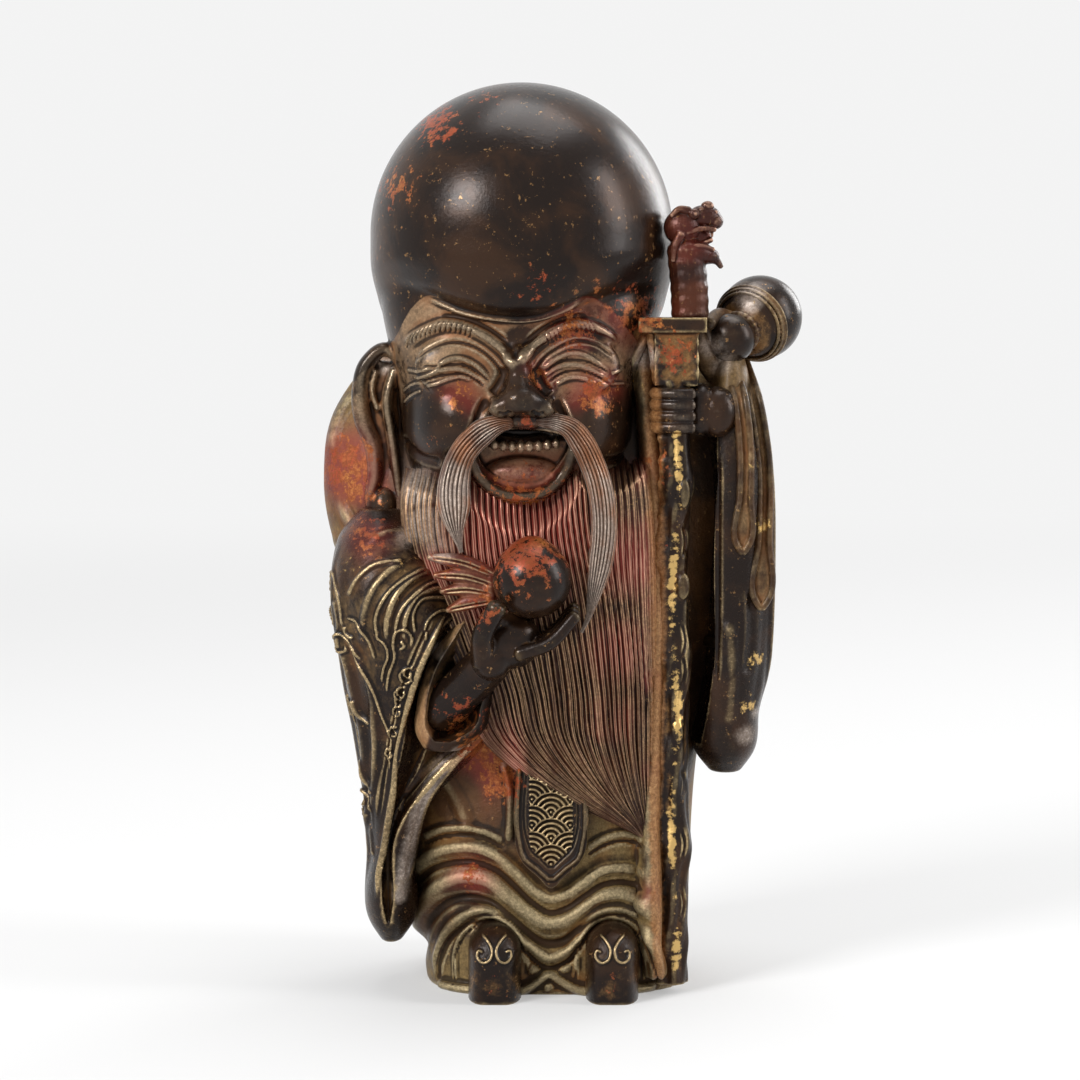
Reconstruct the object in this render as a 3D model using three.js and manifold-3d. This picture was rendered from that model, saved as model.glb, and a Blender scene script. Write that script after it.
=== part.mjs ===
// Small bronze figure of the longevity god: a hollow robe casting with the separately
// cast head, beard, sleeves, hands, staff, gourd, peach, apron and shoes fitted to it.
// Millimetres, +Z up. The figure looks along -Y; +X is on the viewer's right.
// The origin is on the floor, in the middle of the figure's bounding box.

import * as THREE from 'three';
import { mergeVertices, toCreasedNormals } from 'three/addons/utils/BufferGeometryUtils.js';
import Module from 'manifold-3d';

const wasm = await Module();
wasm.setup();

// Fits
const seatGap = 0.3; // between two castings that sit on each other
const pinGap = 0.12; // round a dowel in its hole
const seatDepth = 3; // how far an applied casting reaches into its seat before it is fitted
const dowelRadius = 0.8;
const dowelDepth = 2.6; // of a dowel in each of the two castings that it joins

// Robe: its reach from its upright axis at the floor, the knees and the shoulders
const bodyY = 4.5;
const footLeft = 18.2;
const footRight = 16.8;
const footFront = 15.2;
const footBack = 13.5;
const kneeHeight = 30;
const kneeLeft = 22.4;
const kneeRight = 18.4;
const kneeFront = 13.6;
const kneeBack = 15;
const shoulderHeight = 67;
const shoulderLeft = 32;
const shoulderRight = 25.2;
const shoulderFront = 11;
const shoulderBack = 16;
const hoodHeight = 88;
const robeWall = 4.6;
const backFoldPitch = 14; // folds of cloth down the back
const backFoldDepth = 1.1;

// Foot closure
const footRim = 2;
const plateThickness = 1.5;
const plateRecess = 0.5;
const rivetRadius = 0.75;
const rivetLength = 4.2;

// Head
const headX = -5.2;
const headY = 1;
const domeRadius = 20.1;
const domeHeight = 99.9; // the middle of the dome above the floor
const foreheadOut = 20.6; // the brow bulge in front of the head's axis
const foreheadEdge = 88.8; // its lower edge, in the middle
const browArch = 0.028; // how the lower edge rises towards the temples
const faceX = -5.8;
const faceHalfWidth = 15.6;
const faceFront = 16;
const chinHeight = 60;
const headWall = 3.2;
const neckRadius = 6;
const neckBore = 3.2;
const neckEnd = 50.6;
const cavityTop = neckEnd - 1.6;
const neckPinRadius = 1.1;
const neckPinHeight = 55;

// Face
const browHeight = 88;
const eyeHeight = 82.2;
const eyeSpacing = 7.8; // from the middle of the face to the middle of an eye
const cheekSpacing = 9.8;
const cheekHeight = 75.6;
const noseX = -5.1;
const noseHeight = 78.6;
const noseHalfWidth = 3.6;
const mouthHeight = 74.2;
const mouthHalfWidth = 6.3;
const mouthDrop = 5.4;
const lipWidth = 1.6;
const earHeight = 22.5;
const earWidth = 5.4;
const earTop = 84.2;

// Beard and moustache
const beardTop = 73;
const beardTip = 21.2;
const beardRight = 12.7;
const beardFront = 18; // at the chin, in front of the head's axis
const beardLocks = 16;
const lockDepth = 0.7;
const moustacheRadius = 1.1;

// Staff and what it carries
const staffX = 15;
const staffY = -8.4;
const staffRadius = 1.85;
const staffFoot = 1.2;
const gripHeight = 77.1;
const blockHalfWidth = 2.95;
const blockHalfDepth = 2.4;
const blockHeight = 7;
const ledgeThickness = 1.9;
const ledgeLeft = 5.2; // how far the ledge reaches from the staff's axis
const ledgeRight = 4;
const dragonX = 17.1;
const dragonNeckRadius = 2.35;
const dragonNeckLength = 6.4;
const dragonLength = 6.6;
const gourdBigRadius = 5.6;
const gourdSmallRadius = 3.25;
const gourdWaist = 1.7;
const gourdSmall = new THREE.Vector3(22.3, -5.3, gripHeight + 9.3);
const gourdBig = new THREE.Vector3(26.5, 1, gripHeight + 11.9);
const ribbonWidth = 2.3;

// Right arm, on the viewer's left, and the peach
const sleeveTip = 6.4;
const sleeveLip = 1.5;
const cuffWall = 1.3;
const peachRadius = 5.05;
const peachX = -3.7;
const peachHeight = 55.9;
const cuffDrop = 25.9; // from the peach down to the foot of the cuff
const peachOut = 2; // how far the peach's middle stands in front of the beard
const fingerRadius = 0.95;

// Left arm, on the viewer's right
const leftSleeveTip = 28.8;
const leftSleeveX = 22.2;
const leftSleeveRise = 8.7; // from the grip to the sleeve's top
const gripFingerRadius = 0.76;

// Apron and shoes
const apronX = -1.3;
const apronHalfWidth = 4.6;
const apronTip = 14.6;
const apronShoulder = 18.6;
const apronTop = 30;
const apronThickness = 1;
const shoeXs = [-8.7, 6.7];
const shoeHalfWidth = 3.6;
const shoeHeight = 10.4;
const shoeLength = 4.6;

// Rows of the hem from the floor up: height between the shoes, extra height over the right
// and the left shoe, and how proud the cloth stands
const hemRows = [
  [0, 0, 0, 0.3],
  [1.5, 0, 0, 0.9],
  [2.6, 2.2, 2.2, -0.5],
  [4.6, 4.6, 4.6, -0.3],
  [5.5, 5.2, 5.2, 1.0],
  [6.2, 5.3, 5.1, 0.1],
  [7.0, 5.3, 4.9, 0.9],
  [8.2, 5.8, 4.6, 0.3],
  [9.6, 6.2, 4.0, 0.9],
  [10.7, 6.4, 3.7, 1.7],
  [11.9, 6.3, 3.5, 0.3],
  [13.4, 5.8, 3.5, 1.3],
  [15.4, 5.5, 3.4, 0.1],
  [17.2, 5.0, 3.3, 0.7],
  [19.2, 4.2, 2.8, 0],
  [23, 2.4, 1.8, 0],
];
const hemCrests = [-11, 6.8]; // where the folds rise over the right and the left shoe
const hemSpans = [6.4, 5.6];

// Finishes
const finish = (color, roughness, metalness) => (
  new THREE.MeshStandardMaterial({ color, roughness, metalness })
);
const bronze = finish(0x2c211b, 0.35, 0.85);
const robeBronze = finish(0x5a4a2e, 0.5, 0.75);
const redLacquer = finish(0x7a3026, 0.45, 0.4);
const gilt = finish(0x8a6a34, 0.45, 0.85);
const brassPin = finish(0x9a7b45, 0.4, 1);
const clay = finish(0x8c6f58, 0.95, 0);

const V = (x, y, z) => new THREE.Vector3(x, y, z);
const P = (x, y) => new THREE.Vector2(x, y);
const mean = (a, b) => (a + b) / 2;
const sides = [-1, 1];

function spread(from, to, count) {
  return Array.from({ length: count }, (_, i) => from + ((to - from) * i) / (count - 1));
}

// Shape tools

// A closed three.js geometry as a solid that can be cut and joined
function solid(geometry) {
  const bare = geometry.clone();
  for (const name of Object.keys(bare.attributes)) {
    if (name !== 'position') bare.deleteAttribute(name);
  }
  const merged = mergeVertices(bare, 1e-4);
  return new wasm.Manifold(new wasm.Mesh({
    numProp: 3,
    vertProperties: merged.attributes.position.array,
    triVerts: new Uint32Array(merged.index.array),
  }));
}

const join = (parts) => parts.reduce((sum, part) => sum.add(part));
const cut = (part, tools) => tools.reduce((left, tool) => left.subtract(tool), part);

function signedVolume(points, faces) {
  let sum = 0;
  for (let i = 0; i < faces.length; i += 3) {
    const [a, b, c] = [points[faces[i]], points[faces[i + 1]], points[faces[i + 2]]];
    sum += a.dot(b.clone().cross(c));
  }
  return sum;
}

// A skin over closed rings of points, with a fan over each end
function loft(rings) {
  const around = rings[0].length;
  const points = rings.flat();
  const faces = [];
  for (let i = 0; i + 1 < rings.length; i++) {
    for (let j = 0; j < around; j++) {
      const a = i * around + j;
      const b = i * around + (j + 1) % around;
      faces.push(a, b, b + around, a, b + around, a + around);
    }
  }
  const last = (rings.length - 1) * around;
  points.push(rings[0].reduce((sum, p) => sum.add(p), V(0, 0, 0)).divideScalar(around));
  points.push(rings.at(-1).reduce((sum, p) => sum.add(p), V(0, 0, 0)).divideScalar(around));
  for (let j = 0; j < around; j++) {
    const next = (j + 1) % around;
    faces.push(next, j, points.length - 2, last + j, last + next, points.length - 1);
  }
  const geometry = new THREE.BufferGeometry().setFromPoints(points);
  geometry.setIndex(signedVolume(points, faces) < 0 ? faces.reverse() : faces);
  return solid(geometry);
}

// A smooth curve through stations [position, value, value, ...], read at any position
function through(stations) {
  const positions = stations.map((s) => s[0]);
  const values = stations.flatMap((s) => s.slice(1));
  const curve = new THREE.CubicInterpolant(positions, values, stations[0].length - 1);
  return (t) => curve.evaluate(THREE.MathUtils.clamp(t, positions[0], positions.at(-1)));
}

// An upright form round the axis y. Each station gives the height, the left and right edges
// in x, the reach to the front and back of the axis, and the squareness of the section
class Column {
  constructor(y, stations) {
    this.y = y;
    this.at = through(stations);
  }

  // The y of its front at one place
  frontY(x, z, grow = 0) {
    const [left, right, front, , power] = this.at(z);
    const side = Math.min(1, Math.abs(x - mean(left, right)) / ((right - left) / 2 + grow));
    return this.y - (front + grow) * (1 - side ** power) ** (1 / power);
  }

  point(turn, z, grow) {
    const [left, right, front, back, power] = this.at(z);
    const c = Math.cos(turn);
    const s = Math.sin(turn);
    const x = Math.sign(c) * Math.abs(c) ** (2 / power) * ((right - left) / 2 + grow);
    const y = Math.sign(s) * Math.abs(s) ** (2 / power) * ((s < 0 ? front : back) + grow);
    return V(mean(left, right) + x, this.y + y, z);
  }

  ring(z, around, grow = 0) {
    return spread(0, 2 * Math.PI, around + 1).slice(1)
      .map((u) => this.point(u - 0.35 * Math.cos(u), z, grow));
  }

  backPoint(part, z, grow) {
    const [left, right, , back, power] = this.at(z);
    const deep = Math.max(0, 1 - Math.abs(part) ** power) ** (1 / power);
    const x = mean(left, right) + part * ((right - left) / 2 + grow);
    return V(x, this.y + (back + grow) * deep, z);
  }

  // A ring whose back points lie close enough together to carry folds
  clothRing(z, inFront, behind, grow = 0) {
    const rear = spread(0, Math.PI, behind).map((turn) => this.backPoint(Math.cos(turn), z, grow));
    const front = spread(Math.PI, 2 * Math.PI, inFront).slice(1, -1);
    return [...rear, ...front.map((turn) => this.point(turn, z, grow))];
  }

  solid(heights, around, grow = 0) {
    const rings = heights.map((z) => this.ring(z, around, grow));
    rings[0].forEach((p) => { p.z -= Math.max(0, grow); });
    rings.at(-1).forEach((p) => { p.z += Math.max(0, grow); });
    return loft(rings);
  }
}

// A rod along a smooth line. radius(t) gives its radius, or its two radii [across, in depth],
// from the start at t = 0 to the end at t = 1
function rod(points, radius, steps = 8, around = 8, grow = 0) {
  const line = new THREE.CatmullRomCurve3(points);
  const rings = spread(0, 1, steps + 1).map((t) => {
    const along = line.getTangentAt(t);
    const across = V(0, -1, 0).cross(along);
    if (across.lengthSq() < 0.01) across.set(1, 0, 0);
    across.normalize();
    const out = along.clone().cross(across).normalize();
    const [wide, deep] = [radius(t)].flat().length > 1 ? radius(t) : [radius(t), radius(t)];
    const centre = line.getPointAt(t).addScaledVector(along, t === 0 ? -grow : (t === 1 ? grow : 0));
    return spread(0, 2 * Math.PI, around + 1).slice(1).map((a) => centre.clone()
      .addScaledVector(across, (wide + grow) * Math.cos(a))
      .addScaledVector(out, (deep + grow) * Math.sin(a)));
  });
  return loft(rings);
}

function ellipsoid(centre, rx, ry, rz, around = 12) {
  const shape = new THREE.SphereGeometry(1, around, Math.max(5, Math.round(around * 0.6)));
  shape.rotateX(Math.PI / 2);
  shape.scale(rx, ry, rz);
  shape.translate(centre.x, centre.y, centre.z);
  return solid(shape);
}

function bar(from, to, radius, around = 12) {
  const shape = new THREE.CylinderGeometry(radius, radius, from.distanceTo(to), around);
  const turn = new THREE.Quaternion().setFromUnitVectors(V(0, 1, 0), to.clone().sub(from).normalize());
  shape.applyQuaternion(turn);
  shape.translate(mean(from.x, to.x), mean(from.y, to.y), mean(from.z, to.z));
  return solid(shape);
}

// A flat outline in the X-Z plane, taken from the front y to the back y
function slab(outline, front, back, curveSegments = 8) {
  const shape = outline instanceof THREE.Shape ? outline : new THREE.Shape(outline);
  const plate = new THREE.ExtrudeGeometry(shape, {
    depth: back - front, bevelEnabled: false, curveSegments,
  });
  plate.rotateX(Math.PI / 2);
  plate.translate(0, back, 0);
  return solid(plate);
}

// A dowel across a joint, half of it on each side, with its hole
function dowel(at, direction, depth = dowelDepth) {
  const from = at.clone().addScaledVector(direction, -depth);
  const to = at.clone().addScaledVector(direction, depth);
  const past = direction.clone().multiplyScalar(pinGap);
  return {
    pin: bar(from, to, dowelRadius, 8),
    hole: bar(from.clone().sub(past), to.clone().add(past), dowelRadius + pinGap, 8),
  };
}

const figure = new THREE.Group();

// Cuts can leave loose chips, so a part is the largest body that is left
function addPart(name, part, material) {
  const body = part.decompose().reduce((best, piece) => (piece.volume() > best.volume() ? piece : best));
  const mesh = body.getMesh();
  const geometry = new THREE.BufferGeometry();
  geometry.setAttribute('position', new THREE.BufferAttribute(new Float32Array(mesh.vertProperties), 3));
  geometry.setIndex(new THREE.BufferAttribute(new Uint32Array(mesh.triVerts), 1));
  const piece = new THREE.Mesh(toCreasedNormals(geometry, 0.6), material);
  piece.name = name;
  figure.add(piece);
}

// Robe

const robe = new Column(bodyY, [
  [0, -footLeft, footRight, footFront, footBack, 3.2],
  [kneeHeight * 0.3, -footLeft - 1.2, footRight + 0.4, footFront - 0.2, footBack + 0.7, 3],
  [kneeHeight, -kneeLeft, kneeRight, kneeFront, kneeBack, 2.6],
  [mean(kneeHeight, shoulderHeight), -mean(kneeLeft, shoulderLeft) - 0.3, mean(kneeRight, shoulderRight),
    kneeFront - 0.6, mean(kneeBack, shoulderBack) + 0.4, 2.3],
  [shoulderHeight, -shoulderLeft, shoulderRight, shoulderFront, shoulderBack, 2.2],
  [shoulderHeight + 8, 1 - shoulderLeft, shoulderRight - 0.4, shoulderFront - 2.6, shoulderBack - 0.3, 2.1],
  [shoulderHeight + 13, 3.6 - shoulderLeft, shoulderRight - 2.9, shoulderFront - 5.6, shoulderBack - 1, 2],
  [shoulderHeight + 18, 8.6 - shoulderLeft, shoulderRight - 8.4, shoulderFront - 9.4, shoulderBack - 3, 2],
  [hoodHeight, 14.8 - shoulderLeft, shoulderRight - 14.6, 0.6, shoulderBack - 5.6, 2],
]);

// The folds of the hem rise over each shoe and fade towards the sides
function hemRing([height, overRight, overLeft, proud], grow) {
  const lifts = [overRight, overLeft];
  return robe.clothRing(height, robeInFront, robeBehind, grow).map((p) => {
    const front = THREE.MathUtils.smoothstep(bodyY - p.y, 2, footFront * 0.8);
    const lift = hemCrests.reduce((sum, x, i) => (
      sum + lifts[i] * Math.exp(-(((p.x - x) / hemSpans[i]) ** 2))
    ), 0);
    return V(p.x, p.y - proud * front, p.z + lift * front);
  });
}

// Long folds fall down the back, from under the shoulders to just above the foot
function draped(ring) {
  return ring.map((p) => {
    const back = THREE.MathUtils.smoothstep(p.y - bodyY, 3, 10);
    const hang = THREE.MathUtils.smoothstep(shoulderHeight + 8 - p.z, 0, 40)
      * THREE.MathUtils.smoothstep(p.z, 3, 14);
    const fold = 0.5 - 0.5 * Math.cos((2 * Math.PI * (p.x - foldMiddle)) / backFoldPitch);
    return V(p.x, p.y - backFoldDepth * fold * back * hang, p.z);
  });
}

const foldMiddle = mean(-kneeLeft, kneeRight);
const robeInFront = 19;
const robeBehind = 23;
const robeHeights = [27, 36, 46, 56, 64, 70, 75.5, 80.5, 84.5, hoodHeight];

function robeForm(grow) {
  const skirt = hemRows.map((row) => draped(hemRing(row, grow)));
  const upper = robeHeights.map((z) => draped(robe.clothRing(z, robeInFront, robeBehind, grow)));
  if (grow > 0) skirt[0].forEach((p) => { p.z -= grow; });
  return loft([...skirt, ...upper]);
}

// A narrow fold runs down the front beside the staff, from the ear to the knee
const foldX = staffX - staffRadius - 1.1;
function staffFold(grow) {
  const places = [[foldX - 1.8, gripHeight + 8.9], [foldX - 0.9, gripHeight + 1.9], [foldX, gripHeight - 9],
    [foldX + 0.3, mean(gripHeight, beardTip)], [foldX, beardTip + 13], [foldX - 0.6, beardTip + 1]];
  const line = places.map(([x, z]) => V(x, Math.min(robe.frontY(x, z), -3.4) - 1.6, z));
  return rod(line, () => [1.5, 2.6], 8, 6, grow);
}

const robeSeat = robeForm(seatGap).add(staffFold(seatGap));
const robeFront = (x, z) => robe.frontY(x, z);

// The clay core's space and the plate's seat follow the robe's section at an even offset
function robeInside(offset, heights, around) {
  return loft(heights.map((z) => robe.ring(z, around, -offset)));
}

const plateTop = plateRecess + plateThickness;
const ledge = plateTop + seatGap;
const coreHeights = (low, high) => [low, mean(low, kneeHeight), kneeHeight, mean(kneeHeight, high), high];

// Head

const face = new Column(headY, [
  [chinHeight, faceX - 8, faceX + 8, faceFront - 7, 8, 2],
  [chinHeight + 2, faceX - 11, faceX + 11, faceFront - 3.6, 11, 2.1],
  [chinHeight + 6, faceX - faceHalfWidth + 2.2, faceX + faceHalfWidth - 2.2, faceFront - 1, 13.4, 2.2],
  [chinHeight + 12, faceX - faceHalfWidth + 0.4, faceX + faceHalfWidth - 0.4, faceFront - 0.2, 15, 2.3],
  [chinHeight + 18, faceX - faceHalfWidth, faceX + faceHalfWidth, faceFront, 16, 2.4],
  [chinHeight + 25, faceX - faceHalfWidth - 1.4, faceX + faceHalfWidth + 1.6, faceFront + 0.2, 17, 2.3],
  [chinHeight + 30, headX - 18.6, headX + 18.6, faceFront, 17.6, 2.2],
  [chinHeight + 35, headX - 19, headX + 19, faceFront - 1, 17.6, 2.1],
]);
const faceY = (x, z) => face.frontY(x, z);
const faceHeights = [60, 62, 65, 69, 74, 79, 84, 88.5, 93].map((z) => z - 60 + chinHeight);
const skull = V(headX, headY, domeHeight);
const neckTop = V(headX, headY + 1, chinHeight + 8);
const neckFoot = V(headX, headY + 1, neckEnd);

// The dome: a ball above, and a brow bulge whose lower edge arches over the face
function dome(grow) {
  const above = spread(78, 5, 7).map((a) => THREE.MathUtils.degToRad(a));
  const rows = [
    [foreheadEdge, domeRadius - 1.9, 0.84],
    [foreheadEdge + 1, domeRadius - 1.4, 0.93],
    [foreheadEdge + 3.2, domeRadius - 0.8, 0.985],
    [mean(foreheadEdge, domeHeight), domeRadius - 0.2, 1],
    ...above.map((a) => [domeHeight + domeRadius * Math.cos(a), domeRadius * Math.sin(a), 1]),
  ];
  const rings = rows.map(([z, half, bulge]) => {
    const front = (foreheadOut * half * bulge) / domeRadius;
    const low = THREE.MathUtils.smoothstep(domeHeight - z, 0, domeHeight - foreheadEdge);
    return spread(0, 2 * Math.PI, 23).slice(1).map((a) => {
      const across = Math.cos(a) * (half + grow);
      const out = Math.sin(a) < 0 ? front + grow : half - 0.5 + grow;
      const rise = browArch * across * across * Math.max(0, -Math.sin(a)) * low;
      return V(headX + across, headY + Math.sin(a) * out, z + rise);
    });
  });
  rings[0].forEach((p) => { p.z -= grow; });
  rings.at(-1).forEach((p) => { p.z = domeHeight + domeRadius + grow; });
  return loft(rings);
}

function headForm(grow) {
  return join([dome(grow), face.solid(faceHeights, 20, grow),
    bar(neckFoot.clone().add(V(0, 0, -grow)), neckTop, neckRadius + grow, 12)]);
}

// A narrow bridge, a round tip and two wings
function nose(grow = 0) {
  const tip = V(noseX, faceY(noseX, noseHeight) - 2.4, noseHeight);
  const top = V(noseX, faceY(noseX, browHeight - 4) + 0.6, browHeight - 4);
  return [
    rod([top, V(noseX, tip.y + 1.8, mean(top.z, noseHeight)), tip], (t) => 1.2 + 0.9 * t, 3, 7, grow),
    ellipsoid(tip, 2 + grow, 2.1 + grow, 1.8 + grow, 8),
    ...sides.map((side) => ellipsoid(V(noseX + side * (noseHalfWidth - 1.5), tip.y + 1.8, noseHeight - 0.8),
      1.6 + grow, 2 + grow, 1.3 + grow, 6)),
  ];
}

// A raised line on one side of the face, through [distance from the middle, height]
function faceLine(places, side, radius, sink) {
  const points = places.map(([x, z]) => V(faceX + side * x, faceY(faceX + side * x, z) + sink, z));
  return rod(points, radius, 4, 4);
}

function cheekForm(side, grow) {
  const x = faceX + side * cheekSpacing;
  return ellipsoid(V(x, faceY(x, cheekHeight) + 1.4, cheekHeight), 4.6 + grow, 3.2 + grow, 3.6 + grow, 9);
}

function faceSide(side) {
  const eye = faceX + side * eyeSpacing;
  const brow = [[1, browHeight - 5.4], [3.6, browHeight - 1.2],
    [8.4, browHeight + 0.3], [13.4, browHeight - 2.6]];
  const lid = [[3.4, eyeHeight - 1.6], [eyeSpacing - 0.4, eyeHeight + 0.6], [12.4, eyeHeight - 1.2]];
  return [
    cheekForm(side, 0),
    ellipsoid(V(eye, faceY(eye, eyeHeight) + 1.2, eyeHeight + 0.4), 4.8, 2.1, 2.9, 8),
    faceLine(brow, side, (t) => [1.1 - 0.3 * t, 1], 0.2),
    faceLine(lid, side, () => 0.5, -0.6),
  ];
}

// The ear: a long loop with a heavy lobe that lies on the shoulder
function ear(side) {
  const at = (across, down, out) => V(faceX + side * (faceHalfWidth - 0.4 + across * earWidth),
    headY - 4.4 + down + out, earTop - down * earHeight);
  const rim = [at(-0.1, 0.1, 0), at(0.35, 0, 0), at(0.9, 0.1, 0), at(1, 0.3, 0),
    at(0.72, 0.5, 0.2), at(0.7, 0.9, 0.2)];
  const bowl = [at(-0.05, 0.14, 1.6), at(0.3, 0.35, 1.6), at(0.3, 0.7, 1.4), at(0.34, 0.93, 1)];
  return [
    rod(rim, (t) => [0.95 + 0.3 * t, 1.4], 7, 5),
    rod(bowl, (t) => [2.2 - 0.3 * t, 1.8], 3, 6),
    ellipsoid(at(0.42, 0.92, 0.3), 1.9, 1.9, 2.5, 7),
  ];
}

// The laughing mouth: straight above, deep and round below
function mouthOutline(half, drop, rise) {
  const outline = new THREE.Path();
  outline.moveTo(-half, 0);
  outline.quadraticCurveTo(0, rise, half, 0);
  outline.quadraticCurveTo(half * 0.74, -drop, 0, -drop);
  outline.quadraticCurveTo(-half * 0.74, -drop, -half, 0);
  return outline.getPoints(5).slice(0, -1).map((p) => P(p.x + noseX, p.y + mouthHeight));
}

const mouthY = faceY(noseX, mouthHeight);
const lips = slab(
  mouthOutline(mouthHalfWidth + lipWidth, mouthDrop + lipWidth, 1.2), mouthY - 1, mouthY + 4,
);
const lipSeat = slab(
  mouthOutline(mouthHalfWidth + lipWidth + seatGap, mouthDrop + lipWidth + seatGap, 6),
  mouthY - 12, mouthY + 4,
);
const lipFit = slab(mouthOutline(mouthHalfWidth + lipWidth + seatGap, mouthDrop + lipWidth + seatGap, 1.8),
  mouthY - 1 - seatGap, mouthY + 4);
const mouthHollow = slab(mouthOutline(mouthHalfWidth, mouthDrop, 0.4), mouthY - 4, mouthY + 1.8);
const teeth = rod([V(noseX - 5, mouthY + 1.9, mouthHeight - 1.2), V(noseX, mouthY + 0.8, mouthHeight - 2.2),
  V(noseX + 5, mouthY + 1.9, mouthHeight - 1.2)], () => [0.6, 1.3], 8, 6);

const neckPins = sides.map((side) => {
  const inner = V(headX, headY + 1 + side * (neckBore + 0.4), neckPinHeight);
  return { inner, outer: inner.clone().add(V(0, side * 20, 0)) };
});
const neckPinHoles = neckPins.map(({ inner, outer }, i) => (
  bar(inner.clone().add(V(0, -sides[i] * pinGap, 0)), outer, neckPinRadius + pinGap, 10)
));
const headHollow = (grow) => join([
  ellipsoid(skull, domeRadius - headWall + grow, domeRadius - headWall - 0.5 + grow,
    domeRadius - headWall + grow, 12),
  bar(V(headX, headY + 1, neckEnd - 2 * grow), skull, neckBore + grow, 8),
]);
const headSeat = headForm(seatGap);
const noseSeat = join(nose(seatGap));
const cheekSeat = cheekForm(-1, seatGap).add(cheekForm(1, seatGap));

// Arms, hands and the peach

// The right sleeve hangs from the forearm as a long bag, open towards the middle. Its heights
// follow the hand, and its tip stands on its own
const cuffFoot = peachHeight - cuffDrop;
const rightSleeve = new Column(bodyY - 9, [
  [sleeveTip, -24, -21.2, 3, 8, 2],
  [sleeveTip + 2, -25.3, -19.8, 4.8, 9, 2],
  [sleeveTip + 13, -25.4, -19.3, 6.4, 10, 2],
  [cuffFoot - 5, -25.8, -17, 7.2, 10.5, 2],
  [cuffFoot - 1, -26.4, -13.2, 8, 11, 2],
  [cuffFoot + 3, -27, -9.2, 8.8, 11, 2],
  [cuffFoot + 8, -27.8, -7.6, 10, 11, 2],
  [cuffFoot + 14, -28.9, -8.4, 11.2, 11, 2],
  [cuffFoot + 20, -29.9, -11, 12.2, 11, 2.1],
  [cuffFoot + 24, -30.2, -13.2, 12, 11, 2.1],
  [cuffFoot + 28, -30, -15, 10, 11, 2],
  [cuffFoot + 31, -29, -17.4, 7.6, 10, 2],
  [cuffFoot + 34, -26.4, -21.4, 3.6, 8, 2],
]);
const rightSleeveHeights = [sleeveTip, sleeveTip + 2, mean(sleeveTip, cuffFoot - 6),
  ...[-6, -1, 3, 9, 16, 22, 27, 31, 34].map((rise) => cuffFoot + rise)];
const rightSleeveForm = (grow) => rightSleeve.solid(rightSleeveHeights, 16, grow);

// The long mouth of that sleeve, between its front lip and the far lip
const mouthDepth = 10.5;
const sleeveMouth = new Column(bodyY - 24, [
  [sleeveTip + 2.6, -24 + sleeveLip / 2, -22.2, 9, mouthDepth - 0.5, 2],
  [sleeveTip + 6, -24.9 + sleeveLip / 2, -20 - sleeveLip, 10, mouthDepth, 2],
  [cuffFoot - 8, -24.4 + sleeveLip / 2, -19.4 - sleeveLip, 12, mouthDepth, 2],
  [cuffFoot + 1, -22, -12 - sleeveLip, 12, mouthDepth + 1, 2],
  [cuffFoot + 4, -21.3, -8.6 - sleeveLip, 12, mouthDepth + 1.5, 2],
  [cuffFoot + 12, -19.4, -7.4 - sleeveLip, 12, mouthDepth + 1.5, 2],
  [cuffFoot + 17, -17.2, -4, 12, mouthDepth + 1, 2],
  [cuffFoot + 21.6, -14.2, -2, 12, mouthDepth, 2],
  [cuffFoot + 25, -10.8, -2, 12, mouthDepth, 2],
]);
const mouthHeights = [sleeveTip + 2.6, sleeveTip + 6, ...spread(cuffFoot - 8, cuffFoot + 25, 7)];

// The under-sleeve: an oval cuff round the wrist, open to the front
const cuffEdges = (inset, back) => [
  [cuffFoot + 3 + inset, -17.8 + inset, -13 - inset, 2.4, back - 1, 2],
  [cuffFoot + 5 + inset * 0.6, -18.9 + inset, -10.4 - inset, 3.6, back, 2],
  [cuffFoot + 9, -18.8 + inset, -9 - inset, 4, back, 2],
  [cuffFoot + 14, -17.4 + inset, -8.2 - inset, 4, back, 2],
  [cuffFoot + 18, -15 + inset, -8 - inset, 3.6, back, 2],
  [cuffFoot + 21, -12.2 + inset, -8.6 - inset, 2.6, back - 1, 2],
];
const cuffOutside = new Column(bodyY - 16.6, cuffEdges(0, 3.4));
const cuffInside = new Column(bodyY - 19.4, cuffEdges(cuffWall, 4.6));
const cuffHeights = (inset) => spread(cuffFoot + 3 + inset, cuffFoot + 21, 6);

// The beard's front, in front of the chest
const beardOut = through([
  [beardTip, beardFront - 6.6], [beardTip + 9, beardFront - 4.6], [beardTip + 20, beardFront - 3],
  [beardTip + 32, beardFront - 1.2], [beardTip + 44, beardFront], [beardTop, beardFront - 1.4],
]);
const peachCentre = V(peachX, headY - beardOut(peachHeight)[0] - peachOut, peachHeight);
const fromPeach = (x, y, z) => peachCentre.clone().add(V(x, y, z));

function forearm(grow) {
  return rod([fromPeach(-12.2, 7.2, -18), fromPeach(-8.6, 4.6, -14.4), fromPeach(-5, 1.8, -10.4)],
    (t) => [3.1 - 0.5 * t, 3 - 0.5 * t], 3, 8, grow);
}

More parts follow.
